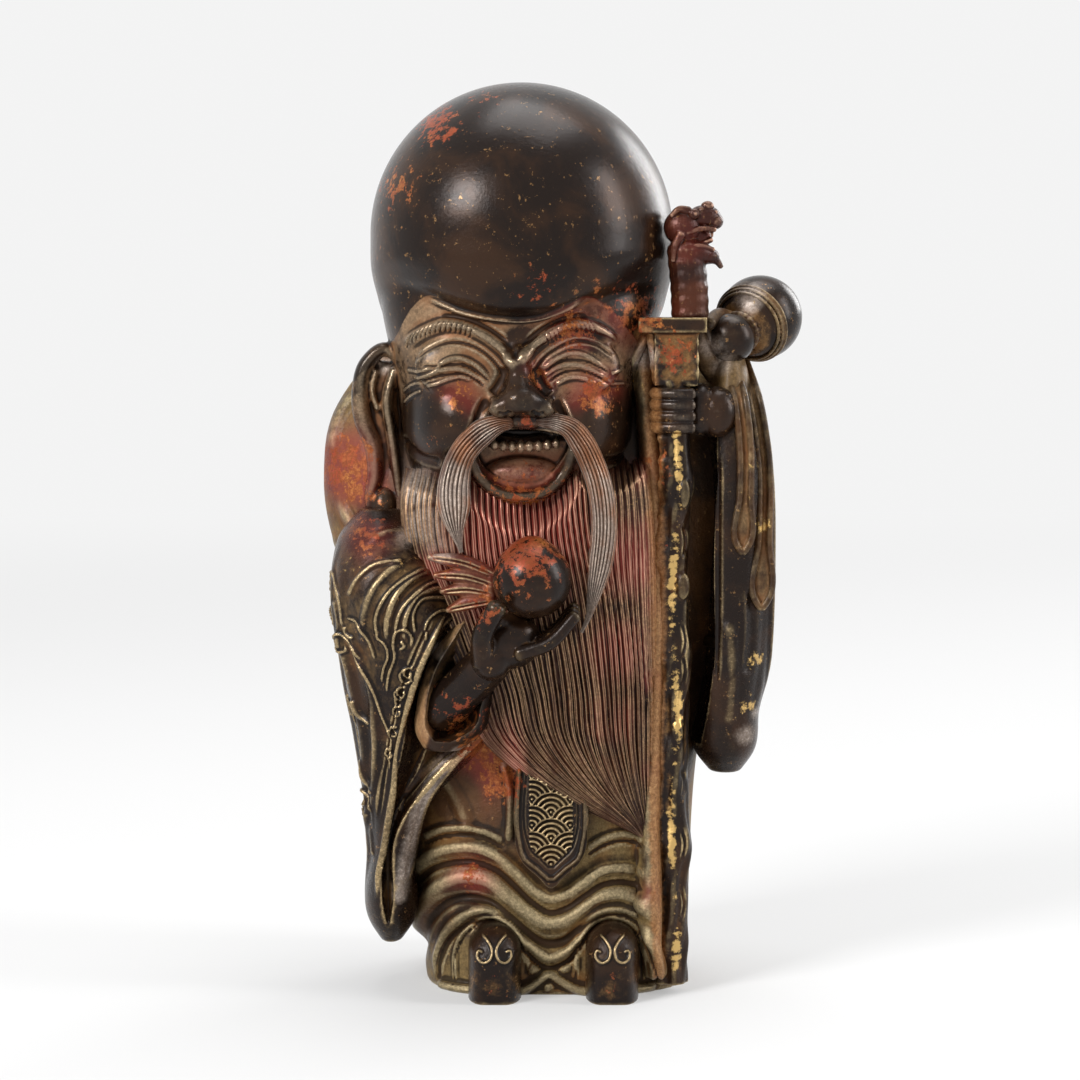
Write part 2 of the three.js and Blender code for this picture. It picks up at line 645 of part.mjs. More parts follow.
// Right hand: the heel of the palm, the thumb in front of the peach, four fingers under it
function rightHand(grow) {
  const r = fingerRadius;
  const fingers = spread(0, 3, 4).map((i) => rod([
    fromPeach(-1.6, -1.6 + 1.7 * i, -9.4 + 0.3 * i),
    fromPeach(2.2, -1.9 + 1.7 * i, -8.0 + 0.3 * i),
    fromPeach(5.5, -1.4 + 1.5 * i, -4.6 + 0.4 * i),
  ], (t) => r * (1.05 - 0.2 * t), 4, 5, grow));
  return join([
    forearm(grow),
    ellipsoid(fromPeach(-2.8, 1.2, -8), 3.8 + grow, 3.1 + grow, 3.6 + grow, 10),
    rod([fromPeach(-6, -0.6, -10), fromPeach(-6, -2.8, -6.6), fromPeach(-4.1, -4.2, -3.4)],
      () => r * 1.2, 4, 6, grow),
    ...fingers,
  ]);
}

function peach(grow) {
  const r = peachRadius + grow;
  const outline = spread(-Math.PI / 2, Math.PI / 2, 10).map((a) => {
    const point = 1 + 0.12 * Math.max(0, Math.sin(a)) ** 6;
    return P(Math.max(0, r * Math.cos(a)), r * Math.sin(a) * point);
  });
  outline[0].x = 0;
  outline.at(-1).x = 0;
  const shape = new THREE.LatheGeometry(outline, 14);
  shape.rotateX(Math.PI / 2);
  shape.rotateY(-0.15);
  shape.translate(peachCentre.x, peachCentre.y, peachCentre.z);
  return solid(shape);
}

// Twig of three leaves beside the peach
function leaves(grow) {
  const leaf = (from, to, width) => rod([from, from.clone().lerp(to, 0.5).add(V(0, -0.3, 0.4)), to],
    (t) => [0.4 + width * Math.sin(Math.PI * t), 0.9], 4, 6, grow);
  return join([
    leaf(fromPeach(-4.6, 1.6, -0.2), fromPeach(-12.4, 3.2, 2.6), 0.9),
    leaf(fromPeach(-4.8, 1.6, -1.6), fromPeach(-11, 3, -1.4), 0.8),
    leaf(fromPeach(-5, 1.4, -2.8), fromPeach(-10.6, 2.6, -4.4), 0.7),
    ellipsoid(fromPeach(-5.4, 1.8, -1.4), 1.1 + grow, 1.2 + grow, 1.9 + grow, 6),
  ]);
}

// The left sleeve falls beside the staff to a rounded tip, with its mouth towards the staff
const leftSleeveLength = gripHeight + leftSleeveRise - leftSleeveTip;
const onLeftSleeve = (part) => leftSleeveTip + part * leftSleeveLength;
const leftSleeve = new Column(bodyY - 7, [
  [onLeftSleeve(0), leftSleeveX - 2.4, leftSleeveX + 1.8, 3, 5, 2],
  [onLeftSleeve(0.04), leftSleeveX - 4.2, leftSleeveX + 3.4, 5.2, 8, 2.1],
  [onLeftSleeve(0.14), leftSleeveX - 4.8, leftSleeveX + 4.2, 6.4, 9, 2.2],
  [onLeftSleeve(0.49), leftSleeveX - 4.8, leftSleeveX + 5.6, 6.6, 11, 2.2],
  [onLeftSleeve(0.7), leftSleeveX - 4.4, leftSleeveX + 5.2, 6.4, 11, 2.1],
  [onLeftSleeve(0.83), leftSleeveX - 3.6, leftSleeveX + 4.2, 5.8, 11, 2],
  [onLeftSleeve(0.93), leftSleeveX - 2.4, leftSleeveX + 2.6, 4.8, 10, 2],
  [onLeftSleeve(1), leftSleeveX - 1.2, leftSleeveX + 1.4, 3, 8, 2],
]);
const leftSleeveHeights = [0, 0.04, 0.105, 0.28, 0.49, 0.65, 0.79, 0.895, 1].map(onLeftSleeve);
const leftSleeveForm = (grow) => leftSleeve.solid(leftSleeveHeights, 14, grow);
const leftMouth = new Column(bodyY - 10, [
  [onLeftSleeve(0.07), leftSleeveX - 7, leftSleeveX - 3.6, 2.6, 3.4, 2],
  [onLeftSleeve(0.175), leftSleeveX - 7.4, leftSleeveX - 2.2, 4.4, 4.6, 2],
  [onLeftSleeve(0.525), leftSleeveX - 7.4, leftSleeveX - 1.8, 4.6, 5.4, 2],
  [gripHeight - 2.4, leftSleeveX - 7, leftSleeveX - 1.4, 4.4, 5.2, 2],
]);
const leftMouthCut = leftMouth.solid(spread(onLeftSleeve(0.07), gripHeight - 2.4, 5), 10);

// The back of the left hand, and the wrist in the sleeve
const knuckle = V(staffX + 4.6, staffY - 0.4, gripHeight);
function handBack(grow) {
  const along = (x, y, z) => knuckle.clone().add(V(x, y, z));
  return join([
    ellipsoid(along(0.6, 0.8, 0), 3 + grow, 2.9 + grow, 3.7 + grow, 9),
    rod([along(0.6, 1, -0.2), along(1.6, 5, -1), along(2, 9, -2.4)], () => [2.5, 2.7], 3, 8, grow),
  ]);
}

// Left hand: four fingers and the thumb close round the staff
function leftHand(grow) {
  const r = gripFingerRadius;
  const pitch = 2 * r - 0.08;
  const bend = (angle, reach, z) => V(staffX + reach * Math.cos(angle), staffY + reach * Math.sin(angle), z);
  const reach = staffRadius + r + seatGap;
  const fingers = spread(-1.5, 1.5, 4).map((i) => {
    const z = gripHeight + i * pitch;
    return rod([V(knuckle.x, knuckle.y, z), bend(-0.9, reach + 0.4, z), bend(-1.7, reach, z),
      bend(-2.6, reach, z),
      bend(-3.4, reach, z)], (t) => r * (1.04 - 0.1 * t), 6, 5, grow);
  });
  const thumb = [V(knuckle.x - 0.6, knuckle.y + 1.6, gripHeight + 1.6),
    bend(0.7, reach + 0.3, gripHeight + 2),
    bend(1.6, reach + 0.3, gripHeight + 2), bend(2.5, reach + 0.3, gripHeight + 1.8)];
  return join([
    ...fingers,
    rod(thumb, () => r * 1.3, 4, 6, grow),
    handBack(grow),
  ]);
}

// Staff, dragon head and gourd

const knots = [0.09, 0.26, 0.415, 0.585, 0.75, 0.88].map((part) => part * gripHeight);

function staffShaft(grow) {
  return loft(spread(staffFoot - grow, gripHeight + 4, 18).map((z) => {
    const near = (knot, width) => Math.exp(-(((z - knot) / width) ** 2));
    const swell = knots.reduce((sum, knot) => sum + 0.35 * near(knot, 1.8), 0);
    const lean = knots.reduce((sum, knot, i) => sum + (i % 2 ? 0.3 : -0.3) * near(knot, 3.2), 0);
    return spread(0, 2 * Math.PI, 9).slice(1)
      .map((a) => V(staffX + lean + (staffRadius + swell + grow) * Math.cos(a),
      staffY + (staffRadius + swell + grow) * Math.sin(a), z));
  }));
}

// Above the hand the staff widens into a squared block under a ledge, with a peg for the dragon
const blockBottom = gripHeight + 3.2;
const blockTop = blockBottom + blockHeight;
const ledgeTop = blockTop + ledgeThickness;
const blockY = staffY + 0.6;
const pegRadius = 1.1;
const pegLength = 3;

function staffHead(grow) {
  const square = (z, left, right, deep) => [[-left, -deep], [right, -deep], [right, deep], [-left, deep]]
    .map(([x, y]) => V(staffX + x, blockY + y, z));
  const w = blockHalfWidth + grow;
  const d = blockHalfDepth + grow;
  return join([
    loft([square(blockBottom - grow, w * 0.92, w * 0.92, d), square(blockBottom + 1, w, w, d),
      square(blockTop + 0.2, w, w, d)]),
    loft([square(blockTop - grow, ledgeLeft + grow, ledgeRight + grow, d + 0.7),
      square(ledgeTop + grow, ledgeLeft + grow, ledgeRight + grow, d + 0.7)]),
    bar(V(dragonX, blockY, ledgeTop - 0.5), V(dragonX, blockY, ledgeTop + pegLength + grow),
      pegRadius + grow, 8),
  ]);
}

// The dragon's ringed neck and its head, with the open mouth towards +X
function dragonHead() {
  const neckBottom = ledgeTop + seatGap;
  const neckEndZ = neckBottom + dragonNeckLength;
  const at = (x, y, z) => V(dragonX + x, blockY + y, neckEndZ + z);
  const pair = (make) => sides.flatMap(make);
  return join([
    rod([V(dragonX, blockY, neckBottom), V(dragonX, blockY, mean(neckBottom, neckEndZ)), at(-0.6, 0, 2)],
      (t) => dragonNeckRadius * (1 + 0.06 * Math.cos(t * 6 * Math.PI)), 6, 8),
    ellipsoid(at(-1, 0, 4.4), 3, 2.5, 3.1, 9),
    rod([at(-0.8, 0, 5.4), at(1.6, 0, 5.3), at(dragonLength - 3.4, 0, 5.7)],
      (t) => [1.8 - 0.4 * t, 2.1 - 0.6 * t], 3, 7),
    ellipsoid(at(dragonLength - 4, 0, 6.6), 1.4, 1.6, 1.4, 7),
    ellipsoid(at(dragonLength - 2.9, 0, 5), 0.9, 1.4, 1.1, 6),
    rod([at(-1.2, 0, 1.2), at(1, 0, 0.3), at(dragonLength - 3.8, 0, 0.4), at(dragonLength - 2.4, 0, 0.9)],
      (t) => [1.3 - 0.5 * t, 1.9 - 0.9 * t], 4, 7),
    ...pair((side) => [
      ellipsoid(at(0.4, side * 1.7, 6.4), 0.9, 0.8, 0.9, 6),
      rod([at(-0.4, side * 1.6, 6.9), at(-2, side * 1.9, 7.4), at(-3.6, side * 1.8, 6.6)],
        (t) => 0.75 - 0.35 * t, 3, 5),
      rod([at(-1.6, side * 2.1, 3.2), at(-2.8, side * 2.5, 2), at(-3.3, side * 2.3, 0)],
        (t) => 0.9 - 0.45 * t, 3, 5),
      rod([at(1.8, side * 1.05, 4.8), at(2, side, 3.2)], (t) => 0.42 - 0.25 * t, 2, 5),
    ]),
  ]);
}

// Gourd: a small bulb in front, a narrow waist and a large bulb behind
const gourdLine = gourdBig.clone().sub(gourdSmall);
const gourdSpacing = gourdLine.length();

function alongGourd(shape) {
  const turn = new THREE.Quaternion().setFromUnitVectors(V(0, 1, 0), gourdLine.clone().normalize());
  shape.applyQuaternion(turn);
  shape.translate(gourdSmall.x, gourdSmall.y, gourdSmall.z);
  return solid(shape);
}

function gourd(grow) {
  const low = -gourdSmallRadius - grow;
  const high = gourdSpacing + gourdBigRadius + grow;
  const half = (y, middle, radius) => Math.sqrt(Math.max(0, (radius + grow) ** 2 - (y - middle) ** 2));
  const profile = spread(low, high, 15).map((y) => {
    const waist = y > 0 && y < gourdSpacing ? gourdWaist + grow : 0;
    return P(Math.max(half(y, 0, gourdSmallRadius), half(y, gourdSpacing, gourdBigRadius), waist), y);
  });
  profile[0].x = 0;
  profile.at(-1).x = 0;
  return alongGourd(new THREE.LatheGeometry(profile, 14));
}

// The cord: two turns round the waist, and the tie that leads to the ledge of the staff
const waistAt = gourdSmallRadius - 0.35;
const cordRadius = 0.42;

function gourdCord() {
  const turns = [-0.6, 0.6].map((i) => {
    const ring = new THREE.TorusGeometry(gourdWaist + seatGap + 0.5, cordRadius, 4, 9);
    ring.rotateX(Math.PI / 2);
    ring.translate(0, waistAt + 2 * cordRadius * i, 0);
    return alongGourd(ring);
  });
  const waist = gourdSmall.clone().addScaledVector(gourdLine, waistAt / gourdSpacing);
  const start = V(staffX + ledgeRight + seatGap, blockY + 0.6, mean(blockTop, ledgeTop));
  const knot = waist.clone().add(V(-1.6, 0.9, 1.3));
  return join([...turns, rod([start, start.clone().lerp(knot, 0.5).add(V(0, 0.4, 0.7)), knot],
    (t) => [0.8 + 0.5 * t, 0.9 + 0.3 * t], 5, 8)]);
}

// Two ribbons fall from the gourd over the left sleeve
function ribbons() {
  const over = (x, below) => {
    const z = gripHeight - below;
    return V(x, leftSleeve.frontY(x, z) - 0.7, z);
  };
  const inner = [V(gourdSmall.x - 0.2, gourdSmall.y + 2.6, gourdSmall.z - 3.8),
    over(23.3, -1.4), over(24, 5.1),
    over(24, 11.1), over(23.7, 17.6)];
  const outer = [V(gourdSmall.x + 1.6, gourdSmall.y + 4.4, gourdSmall.z - 3.2),
    over(25.3, -1.4), over(26.6, 7.1),
    over(26.6, 17.1), over(26.3, 25.1)];
  return [inner, outer].map((points) => (
    rod(points, (t) => [(ribbonWidth / 2) * (0.8 + 0.2 * t), 0.8], 9, 6)
  ));
}

// Beard and moustache

// Left and right edges of the beard, and the y of its sides
const beardEdge = through([
  [beardTip, beardRight - 2.4, beardRight - 1.5, -9.6],
  [beardTip + 2, beardRight - 6.4, beardRight - 1, -9.4],
  [beardTip + 5.2, beardRight - 12.8, beardRight - 0.7, -9],
  [beardTip + 9.4, beardRight - 19.4, beardRight - 0.4, -8.6],
  [beardTip + 12.6, beardRight - 23, beardRight - 0.2, -8.2],
  [beardTip + 20, beardRight - 26, beardRight, -7.6],
  [beardTip + 30, beardRight - 30, beardRight + 0.1, -7],
  [beardTip + 38, beardRight - 33.2, beardRight - 0.1, -6.4],
  [beardTip + 46, beardRight - 33.8, beardRight - 0.7, -6],
  [beardTop, beardRight - 33.2, beardRight - 1.6, -5.6],
]);

function beardY(x, z, grow = 0) {
  const [left, right, side] = beardEdge(z);
  const across = THREE.MathUtils.clamp((x - mean(left, right)) / ((right - left) / 2 + grow), -1, 1);
  const crown = (1 - Math.abs(across) ** 2.4) ** (1 / 2.4);
  const lock = Math.abs(Math.sin(((across + 1) / 2) * beardLocks * Math.PI));
  return side - (side - headY + beardOut(z)[0]) * crown - lockDepth * lock * crown - grow;
}

function beardForm(grow) {
  const samples = beardLocks * 2;
  return loft([0, 2, 5.2, 9.4, 14, 21, 29, 37, 44, beardTop - beardTip].map((rise) => {
    const z = beardTip + rise;
    const [left, right, side] = beardEdge(z);
    const slump = 3.6 * THREE.MathUtils.smoothstep(z, 60, beardTop);
    const drop = (x) => slump * THREE.MathUtils.smoothstep(noseX - x, 4, 14);
    const front = spread(left - grow, right + grow, samples + 1)
      .map((x) => V(x, beardY(x, z, grow), z - drop(x)));
    const back = spread(right + grow, left - grow, 3).map((x) => V(x, side + seatDepth, z - drop(x)));
    return [...front, ...back];
  }));
}

// One side of the moustache: it arches from under the nose past the mouth and hangs down
function moustache(side, grow = 0) {
  const arch = [[1.4, 75.6], [4.6, 75.1], [7, 73.1], [8.7, 70.2], [9.5, 66.6], [9.7, 62.6], [9.3, 58.6]];
  const tail = side > 0 ? [[8.6, 53.6], [7.4, 48.6]] : [];
  const points = [...arch, ...tail].map(([across, z]) => {
    const x = noseX + side * across * (1 + 0.1 * side);
    const lip = mouthY - 2 * THREE.MathUtils.smoothstep(mouthDrop + 4 - Math.abs(z - mouthHeight), 0, 5);
    return V(x, Math.min(faceY(x, z) - 0.6, z < beardTop ? beardY(x, z) - 0.3 : 0, across < 8 ? lip : 0), z);
  });
  const swell = (t) => 0.75 + 0.6 * Math.sin(Math.PI * Math.min(1, t + 0.1));
  return rod(points, (t) => [moustacheRadius * swell(t), 1.2], 11, 6, grow);
}

// Apron and shoes

function apronForm() {
  const outline = [
    P(apronX - apronHalfWidth, apronTop), P(apronX - apronHalfWidth, apronShoulder), P(apronX, apronTip),
    P(apronX + apronHalfWidth, apronShoulder), P(apronX + apronHalfWidth, apronTop),
  ];
  const proud = 1.4 + apronThickness;
  const front = robe.solid([apronTip - 1, 18, 22, 26, apronTop + 1], 32, proud);
  return slab(outline, bodyY - footFront - 6, bodyY - 6).intersect(front);
}

const shoePeg = (x, grow) => (
  bar(V(x, bodyY - footFront - 1, 4), V(x, bodyY - footFront + 2.6 + grow, 4), 1 + grow, 10)
);

function shoe(x) {
  const round = 0.8;
  const half = shoeHalfWidth - round;
  const outline = new THREE.Shape();
  outline.moveTo(x - half, -1);
  outline.lineTo(x - half, shoeHeight - shoeHalfWidth);
  outline.absarc(x, shoeHeight - shoeHalfWidth, half, Math.PI, 0, true);
  outline.lineTo(x + half, -1);
  const shape = new THREE.ExtrudeGeometry(outline, {
    depth: shoeLength + seatDepth, bevelThickness: round, bevelSize: round,
    bevelSegments: 2, curveSegments: 6,
  });
  shape.rotateX(Math.PI / 2);
  shape.translate(0, bodyY - footFront + seatDepth, 0);
  const floor = slab([P(-40, -5), P(40, -5), P(40, 0), P(-40, 0)], -40, 40);
  return cut(solid(shape), [floor, robeSeat]).add(shoePeg(x, 0));
}

// Dowels, rivets and the fitted parts

const rivetPlaces = { front: [0, -1], back: [0, 1], left: [-1, 0], right: [1, 0] };
const rivets = Object.entries(rivetPlaces).map(([where, [sx, sy]]) => {
  const inset = (footRim + robeWall) / 2 + 0.2;
  const x = sx < 0 ? inset - footLeft : sx * (footRight - inset);
  const y = sy < 0 ? inset - footFront : sy * (footBack - inset);
  const form = (grow) => join([
    bar(V(x, bodyY + y, plateRecess - grow), V(x, bodyY + y, plateRecess + 0.5 + grow),
      rivetRadius * 1.5 + grow, 8),
    bar(V(x, bodyY + y, plateRecess), V(x, bodyY + y, plateRecess + rivetLength + grow),
      rivetRadius + grow, 8),
  ]);
  return { where, pin: form(0), hole: form(pinGap) };
});

const onRobe = (x, z, sink = 0) => V(x, robeFront(x, z) + sink, z);
const dowels = {
  beard_upper: dowel(onRobe(7, beardTip + 24.8, -0.4), V(0, 1, 0), 2.2),
  beard_lower: dowel(onRobe(2, beardTip + 12.8, -0.4), V(0, 1, 0), 2.2),
  right_sleeve_upper: dowel(onRobe(-24, cuffFoot + 22), V(0, 1, 0)),
  right_sleeve_lower: dowel(onRobe(-20.6, cuffFoot - 6), V(0.6, 0.8, 0)),
  left_sleeve_upper: dowel(onRobe(22, gripHeight - 11.1), V(-0.2, 0.98, 0).normalize()),
  left_sleeve_lower: dowel(onRobe(19.4, leftSleeveTip + 17.2), V(-0.6, 0.8, 0)),
  staff_upper: dowel(V(foldX + 1.4, staffY + 2, gripHeight - 15.1), V(-0.3, 0.95, 0).normalize(), 1.7),
  staff_lower: dowel(V(foldX + 1.4, staffY + 2, beardTip + 4.8), V(-0.3, 0.95, 0).normalize(), 1.7),
};
const holesFor = (word) => (
  Object.entries(dowels).filter(([name]) => name.startsWith(word)).map(([, d]) => d.hole)
);

const rightSleeveSeat = rightSleeveForm(seatGap);
const leftSleeveSeat = leftSleeveForm(seatGap);
const rightHandSeat = rightHand(seatGap);
const leftHandSeat = leftHand(seatGap);
const peachSeat = peach(seatGap);
const leafSeat = leaves(seatGap);
const gourdSeat = gourd(seatGap);
const staffSeat = staffShaft(seatGap).add(staffHead(seatGap));
const mouthCut = sleeveMouth.solid(mouthHeights, 12);
const cuffSeat = cuffOutside.solid(cuffHeights(0), 16, seatGap);
const moustacheSeats = sides.map((side) => moustache(side, seatGap));

addPart('robe_body', cut(robeForm(0).add(staffFold(0)), [
  headSeat, ...neckPinHoles,
  robeInside(robeWall, coreHeights(ledge, cavityTop), 16),
  robeInside(footRim, [-1, ledge], 16),
  ...rivets.map(({ hole }) => hole), ...Object.values(dowels).map(({ hole }) => hole),
  ...shoeXs.map((x) => shoePeg(x, pinGap)),
]), robeBronze);
addPart('robe_core', cut(
  robeInside(robeWall + seatGap, coreHeights(ledge + seatGap, cavityTop - seatGap), 16),
  rivets.map(({ hole }) => hole),
), clay);
addPart('base_plate', cut(robeInside(footRim + seatGap, [plateRecess, plateTop], 16),
  rivets.map(({ hole }) => hole)), brassPin);
rivets.forEach(({ where, pin }) => addPart(`base_rivet_${where}`, pin, brassPin));

// The ears lie on the shoulders: behind them the head is cut to the robe
const earSeat = robeSeat.subtract(headForm(0));
const headOuter = join([headForm(0), ...nose(), ...faceSide(-1), ...faceSide(1), lips]);
addPart('head', cut(headOuter.add(join([...ear(-1), ...ear(1)]).subtract(earSeat)), [
  mouthHollow.subtract(teeth), headHollow(0), ...neckPinHoles,
]), bronze);
addPart('head_core', headHollow(-seatGap), clay);
neckPins.forEach(({ inner, outer }, i) => addPart(`neck_pin_${['front', 'back'][i]}`,
  bar(inner, outer, neckPinRadius, 10).intersect(robeForm(0)), brassPin));

addPart('beard', cut(beardForm(0), [
  robeSeat, headSeat, cheekSeat, lipSeat, rightSleeveSeat, cuffSeat,
  rightHandSeat, peachSeat, leafSeat, staffSeat, leftHandSeat,
  ...moustacheSeats, ...holesFor('beard'),
]), redLacquer);
addPart('moustache_right', cut(moustache(-1), [
  headSeat, cheekSeat, lipFit, noseSeat, peachSeat, leafSeat,
]), redLacquer);
addPart('moustache_left', cut(moustache(1), [
  headSeat, cheekSeat, lipFit, noseSeat, peachSeat, rightHandSeat,
]), redLacquer);

addPart('right_sleeve', cut(rightSleeveForm(0), [
  robeSeat, headSeat, mouthCut, cuffSeat, forearm(seatGap), leafSeat, ...holesFor('right'),
]), robeBronze);
addPart('right_cuff', cut(cuffOutside.solid(cuffHeights(0), 16), [
  cuffInside.solid(cuffHeights(cuffWall), 12), rightHandSeat, robeSeat,
]), gilt);
addPart('right_hand', cut(rightHand(0), [robeSeat, peachSeat]), bronze);
addPart('peach', peach(0), bronze);
addPart('peach_leaves', cut(leaves(0), [peachSeat, rightHandSeat]), redLacquer);

addPart('left_sleeve', cut(leftSleeveForm(0), [
  robeSeat, headSeat, leftMouthCut, handBack(seatGap), staffSeat, gourdSeat, ...holesFor('left'),
]), robeBronze);
addPart('left_hand', cut(leftHand(0), [robeSeat, headSeat, staffSeat]), bronze);
addPart('staff', cut(join([staffShaft(0), staffHead(0)]), [robeSeat, headSeat, ...holesFor('staff')]), gilt);
addPart('dragon_head', cut(dragonHead(), [headSeat, staffHead(seatGap)]), bronze);
addPart('gourd', gourd(0), bronze);
addPart('gourd_cord', cut(gourdCord(), [gourdSeat, staffHead(seatGap), leftSleeveSeat]), gilt);
ribbons().forEach((ribbon, i) => addPart(`gourd_ribbon_${['inner', 'outer'][i]}`,
  cut(ribbon, [leftSleeveSeat, gourdSeat, handBack(seatGap), robeSeat]), gilt));

addPart('apron', cut(apronForm(), [robeSeat, beardForm(seatGap)]), robeBronze);
shoeXs.forEach((x, i) => addPart(`${['right', 'left'][i]}_shoe`, shoe(x), bronze));
for (const [name, { pin }] of Object.entries(dowels)) addPart(`${name}_dowel`, pin, brassPin);

// The box of the whole figure is centred over the origin
const box = new THREE.Box3().setFromObject(figure);
figure.position.set(-mean(box.min.x, box.max.x), -mean(box.min.y, box.max.y), -box.min.z);

export default figure;
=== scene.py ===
import bpy
import math
import mathutils
import numpy as np
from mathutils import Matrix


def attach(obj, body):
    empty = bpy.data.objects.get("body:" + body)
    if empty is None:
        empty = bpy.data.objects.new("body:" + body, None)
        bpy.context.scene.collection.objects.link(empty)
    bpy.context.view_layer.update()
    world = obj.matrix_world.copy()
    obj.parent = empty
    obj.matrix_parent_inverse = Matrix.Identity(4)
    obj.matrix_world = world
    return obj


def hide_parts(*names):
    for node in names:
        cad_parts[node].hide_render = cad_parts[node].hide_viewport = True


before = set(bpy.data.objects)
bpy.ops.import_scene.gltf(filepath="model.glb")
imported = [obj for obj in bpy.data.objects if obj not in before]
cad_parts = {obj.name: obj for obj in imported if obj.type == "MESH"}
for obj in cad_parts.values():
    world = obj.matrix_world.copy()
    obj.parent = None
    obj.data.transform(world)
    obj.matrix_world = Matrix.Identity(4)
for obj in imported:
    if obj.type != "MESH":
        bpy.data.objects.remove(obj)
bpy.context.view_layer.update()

# Robe body. One hollow bronze casting from the hood to the hem. The cloth falls in smooth
# rolls that arch over the two shoes; the skin is chased, lacquered dark, and years of
# handling have left ochre in the folds and polish on the crests. The pale crests of the hem
# are partly a painted highlight, and the front beside the staff carries painted shade.

# Sizes are in mm from the middle of the foot; the frame's origin is the middle of the box
FOOT_TO_BOX = np.array([-0.044, 1.391, 0.0])
rng = np.random.default_rng(7)


def through(stations):
    """A smooth curve through [position, value, value, ...] rows."""
    t = np.array([s[0] for s in stations], float)
    v = np.array([s[1:] for s in stations], float)
    slope = np.gradient(v, t, axis=0)

    def at(x):
        x = np.clip(np.asarray(x, float), t[0], t[-1])
        i = np.clip(np.searchsorted(t, x, side="right") - 1, 0, len(t) - 2)
        h = (t[i + 1] - t[i])[..., None]
        u = (x - t[i])[..., None] / h
        return ((1 + 2 * u) * (1 - u) ** 2 * v[i] + u * (1 - u) ** 2 * h * slope[i]
                + u * u * (3 - 2 * u) * v[i + 1] + u * u * (u - 1) * h * slope[i + 1])
    return at


def ease(x, low, high):
    """Rises softly from 0 at low to 1 at high."""
    t = np.clip((np.asarray(x, float) - low) / (high - low), 0, 1)
    return t * t * (3 - 2 * t)


def ridge(distance, width):
    return np.exp(-(distance / width) ** 2)


def bend(points, count):
    """A smooth line through a few points, sampled evenly."""
    p = np.array(points, float)
    run = np.concatenate([[0], np.cumsum(np.linalg.norm(np.diff(p, axis=0), axis=1))])
    return through(np.column_stack([run, p]))(np.linspace(0, run[-1], count))


def circle(count):
    return np.linspace(0, 2 * np.pi, count, endpoint=False)


def faces_between(rows, around):
    """The four-sided faces between rows of points that run round a form."""
    j = np.arange(around)
    k = (j + 1) % around
    return np.concatenate([
        np.column_stack([i * around + j, i * around + k, (i + 1) * around + k, (i + 1) * around + j])
        for i in range(rows - 1)])


def skin(rings):
    """Closed rings of points joined into one closed skin."""
    rings = np.array(rings, float)
    rows, around = rings.shape[:2]
    points = np.concatenate([rings.reshape(-1, 3), rings[0].mean(0)[None], rings[-1].mean(0)[None]])
    j = np.arange(around)
    k = (j + 1) % around
    last = (rows - 1) * around
    low_end = np.column_stack([k, j, np.full(around, rows * around)])
    high_end = np.column_stack([last + j, last + k, np.full(around, rows * around + 1)])
    return points, faces_between(rows, around).tolist() + low_end.tolist() + high_end.tolist()


def column(stations, y, heights, around=120, grow=0.0):
    """An upright form: each station gives height, left, right, front, back and squareness."""
    c, s = np.cos(circle(around)), np.sin(circle(around))
    rings = []
    for z, (left, right, front, back, power) in zip(heights, through(stations)(heights)):
        x = np.sign(c) * abs(c) ** (2 / power) * ((right - left) / 2 + grow) + (left + right) / 2
        deep = np.where(s < 0, front, back) + grow
        y_ring = y + np.sign(s) * abs(s) ** (2 / power) * deep
        rings.append(np.column_stack([x, y_ring, np.full(around, z)]))
    return skin(rings)


def front_of(stations, y, x, z, grow=0.0):
    """The y of the front of such a form at x, z."""
    left, right, front, _, power = np.moveaxis(through(stations)(z), -1, 0)
    side = np.minimum(1, abs(x - (left + right) / 2) / ((right - left) / 2 + grow))
    return y - (front + grow) * (1 - side ** power) ** (1 / power)


def rod(points, radius, steps=28, around=20):
    """A round or flattened bar along a smooth line; radius(t) is one number or (wide, deep)."""
    line = bend(points, steps)
    along = np.gradient(line, axis=0)
    along /= np.linalg.norm(along, axis=1)[:, None]
    across = np.cross([0, -1, 0], along)
    weak = np.linalg.norm(across, axis=1) < 0.1
    across[weak] = [1, 0, 0]
    across /= np.linalg.norm(across, axis=1)[:, None]
    out = np.cross(along, across)
    turn = circle(around)[:, None]
    rings = []
    for p, a, b, t in zip(line, across, out, np.linspace(0, 1, steps)):
        wide, deep = np.broadcast_to(radius(t), 2)
        rings.append(p + wide * np.cos(turn) * a + deep * np.sin(turn) * b)

    def rounded(ring, outward, size):
        """Three shrinking rings that round off one end."""
        return [ring * (1 - f) + ring.mean(0) * f + outward * g * size
                for f, g in ((0.08, 0.25), (0.3, 0.5), (0.75, 0.66))]

    start = rounded(rings[0], -along[0], min(np.broadcast_to(radius(0), 2)))[::-1]
    return skin(start + rings + rounded(rings[-1], along[-1], min(np.broadcast_to(radius(1), 2))))


def as_object(parts):
    points, faces, start = [], [], 0
    for p, f in parts:
        points.append(p)
        faces += [[v + start for v in face] for face in f]
        start += len(p)
    mesh = bpy.data.meshes.new("clay")
    mesh.from_pydata(np.concatenate(points).tolist(), [], faces)
    return bpy.data.objects.new("clay", mesh)


def worked(obj):
    """The points, the corners of the faces and the start of each face, after the modifiers."""
    bpy.context.scene.collection.objects.link(obj)
    mesh = bpy.data.meshes.new_from_object(obj.evaluated_get(bpy.context.evaluated_depsgraph_get()))
    bpy.data.objects.remove(obj)
    p = np.empty(len(mesh.vertices) * 3)
    mesh.vertices.foreach_get("co", p)
    corners = np.empty(len(mesh.loops), int)
    mesh.loops.foreach_get("vertex_index", corners)
    start = np.empty(len(mesh.polygons), int)
    mesh.polygons.foreach_get("loop_start", start)
    bpy.data.meshes.remove(mesh)
    return p.reshape(-1, 3), corners, start


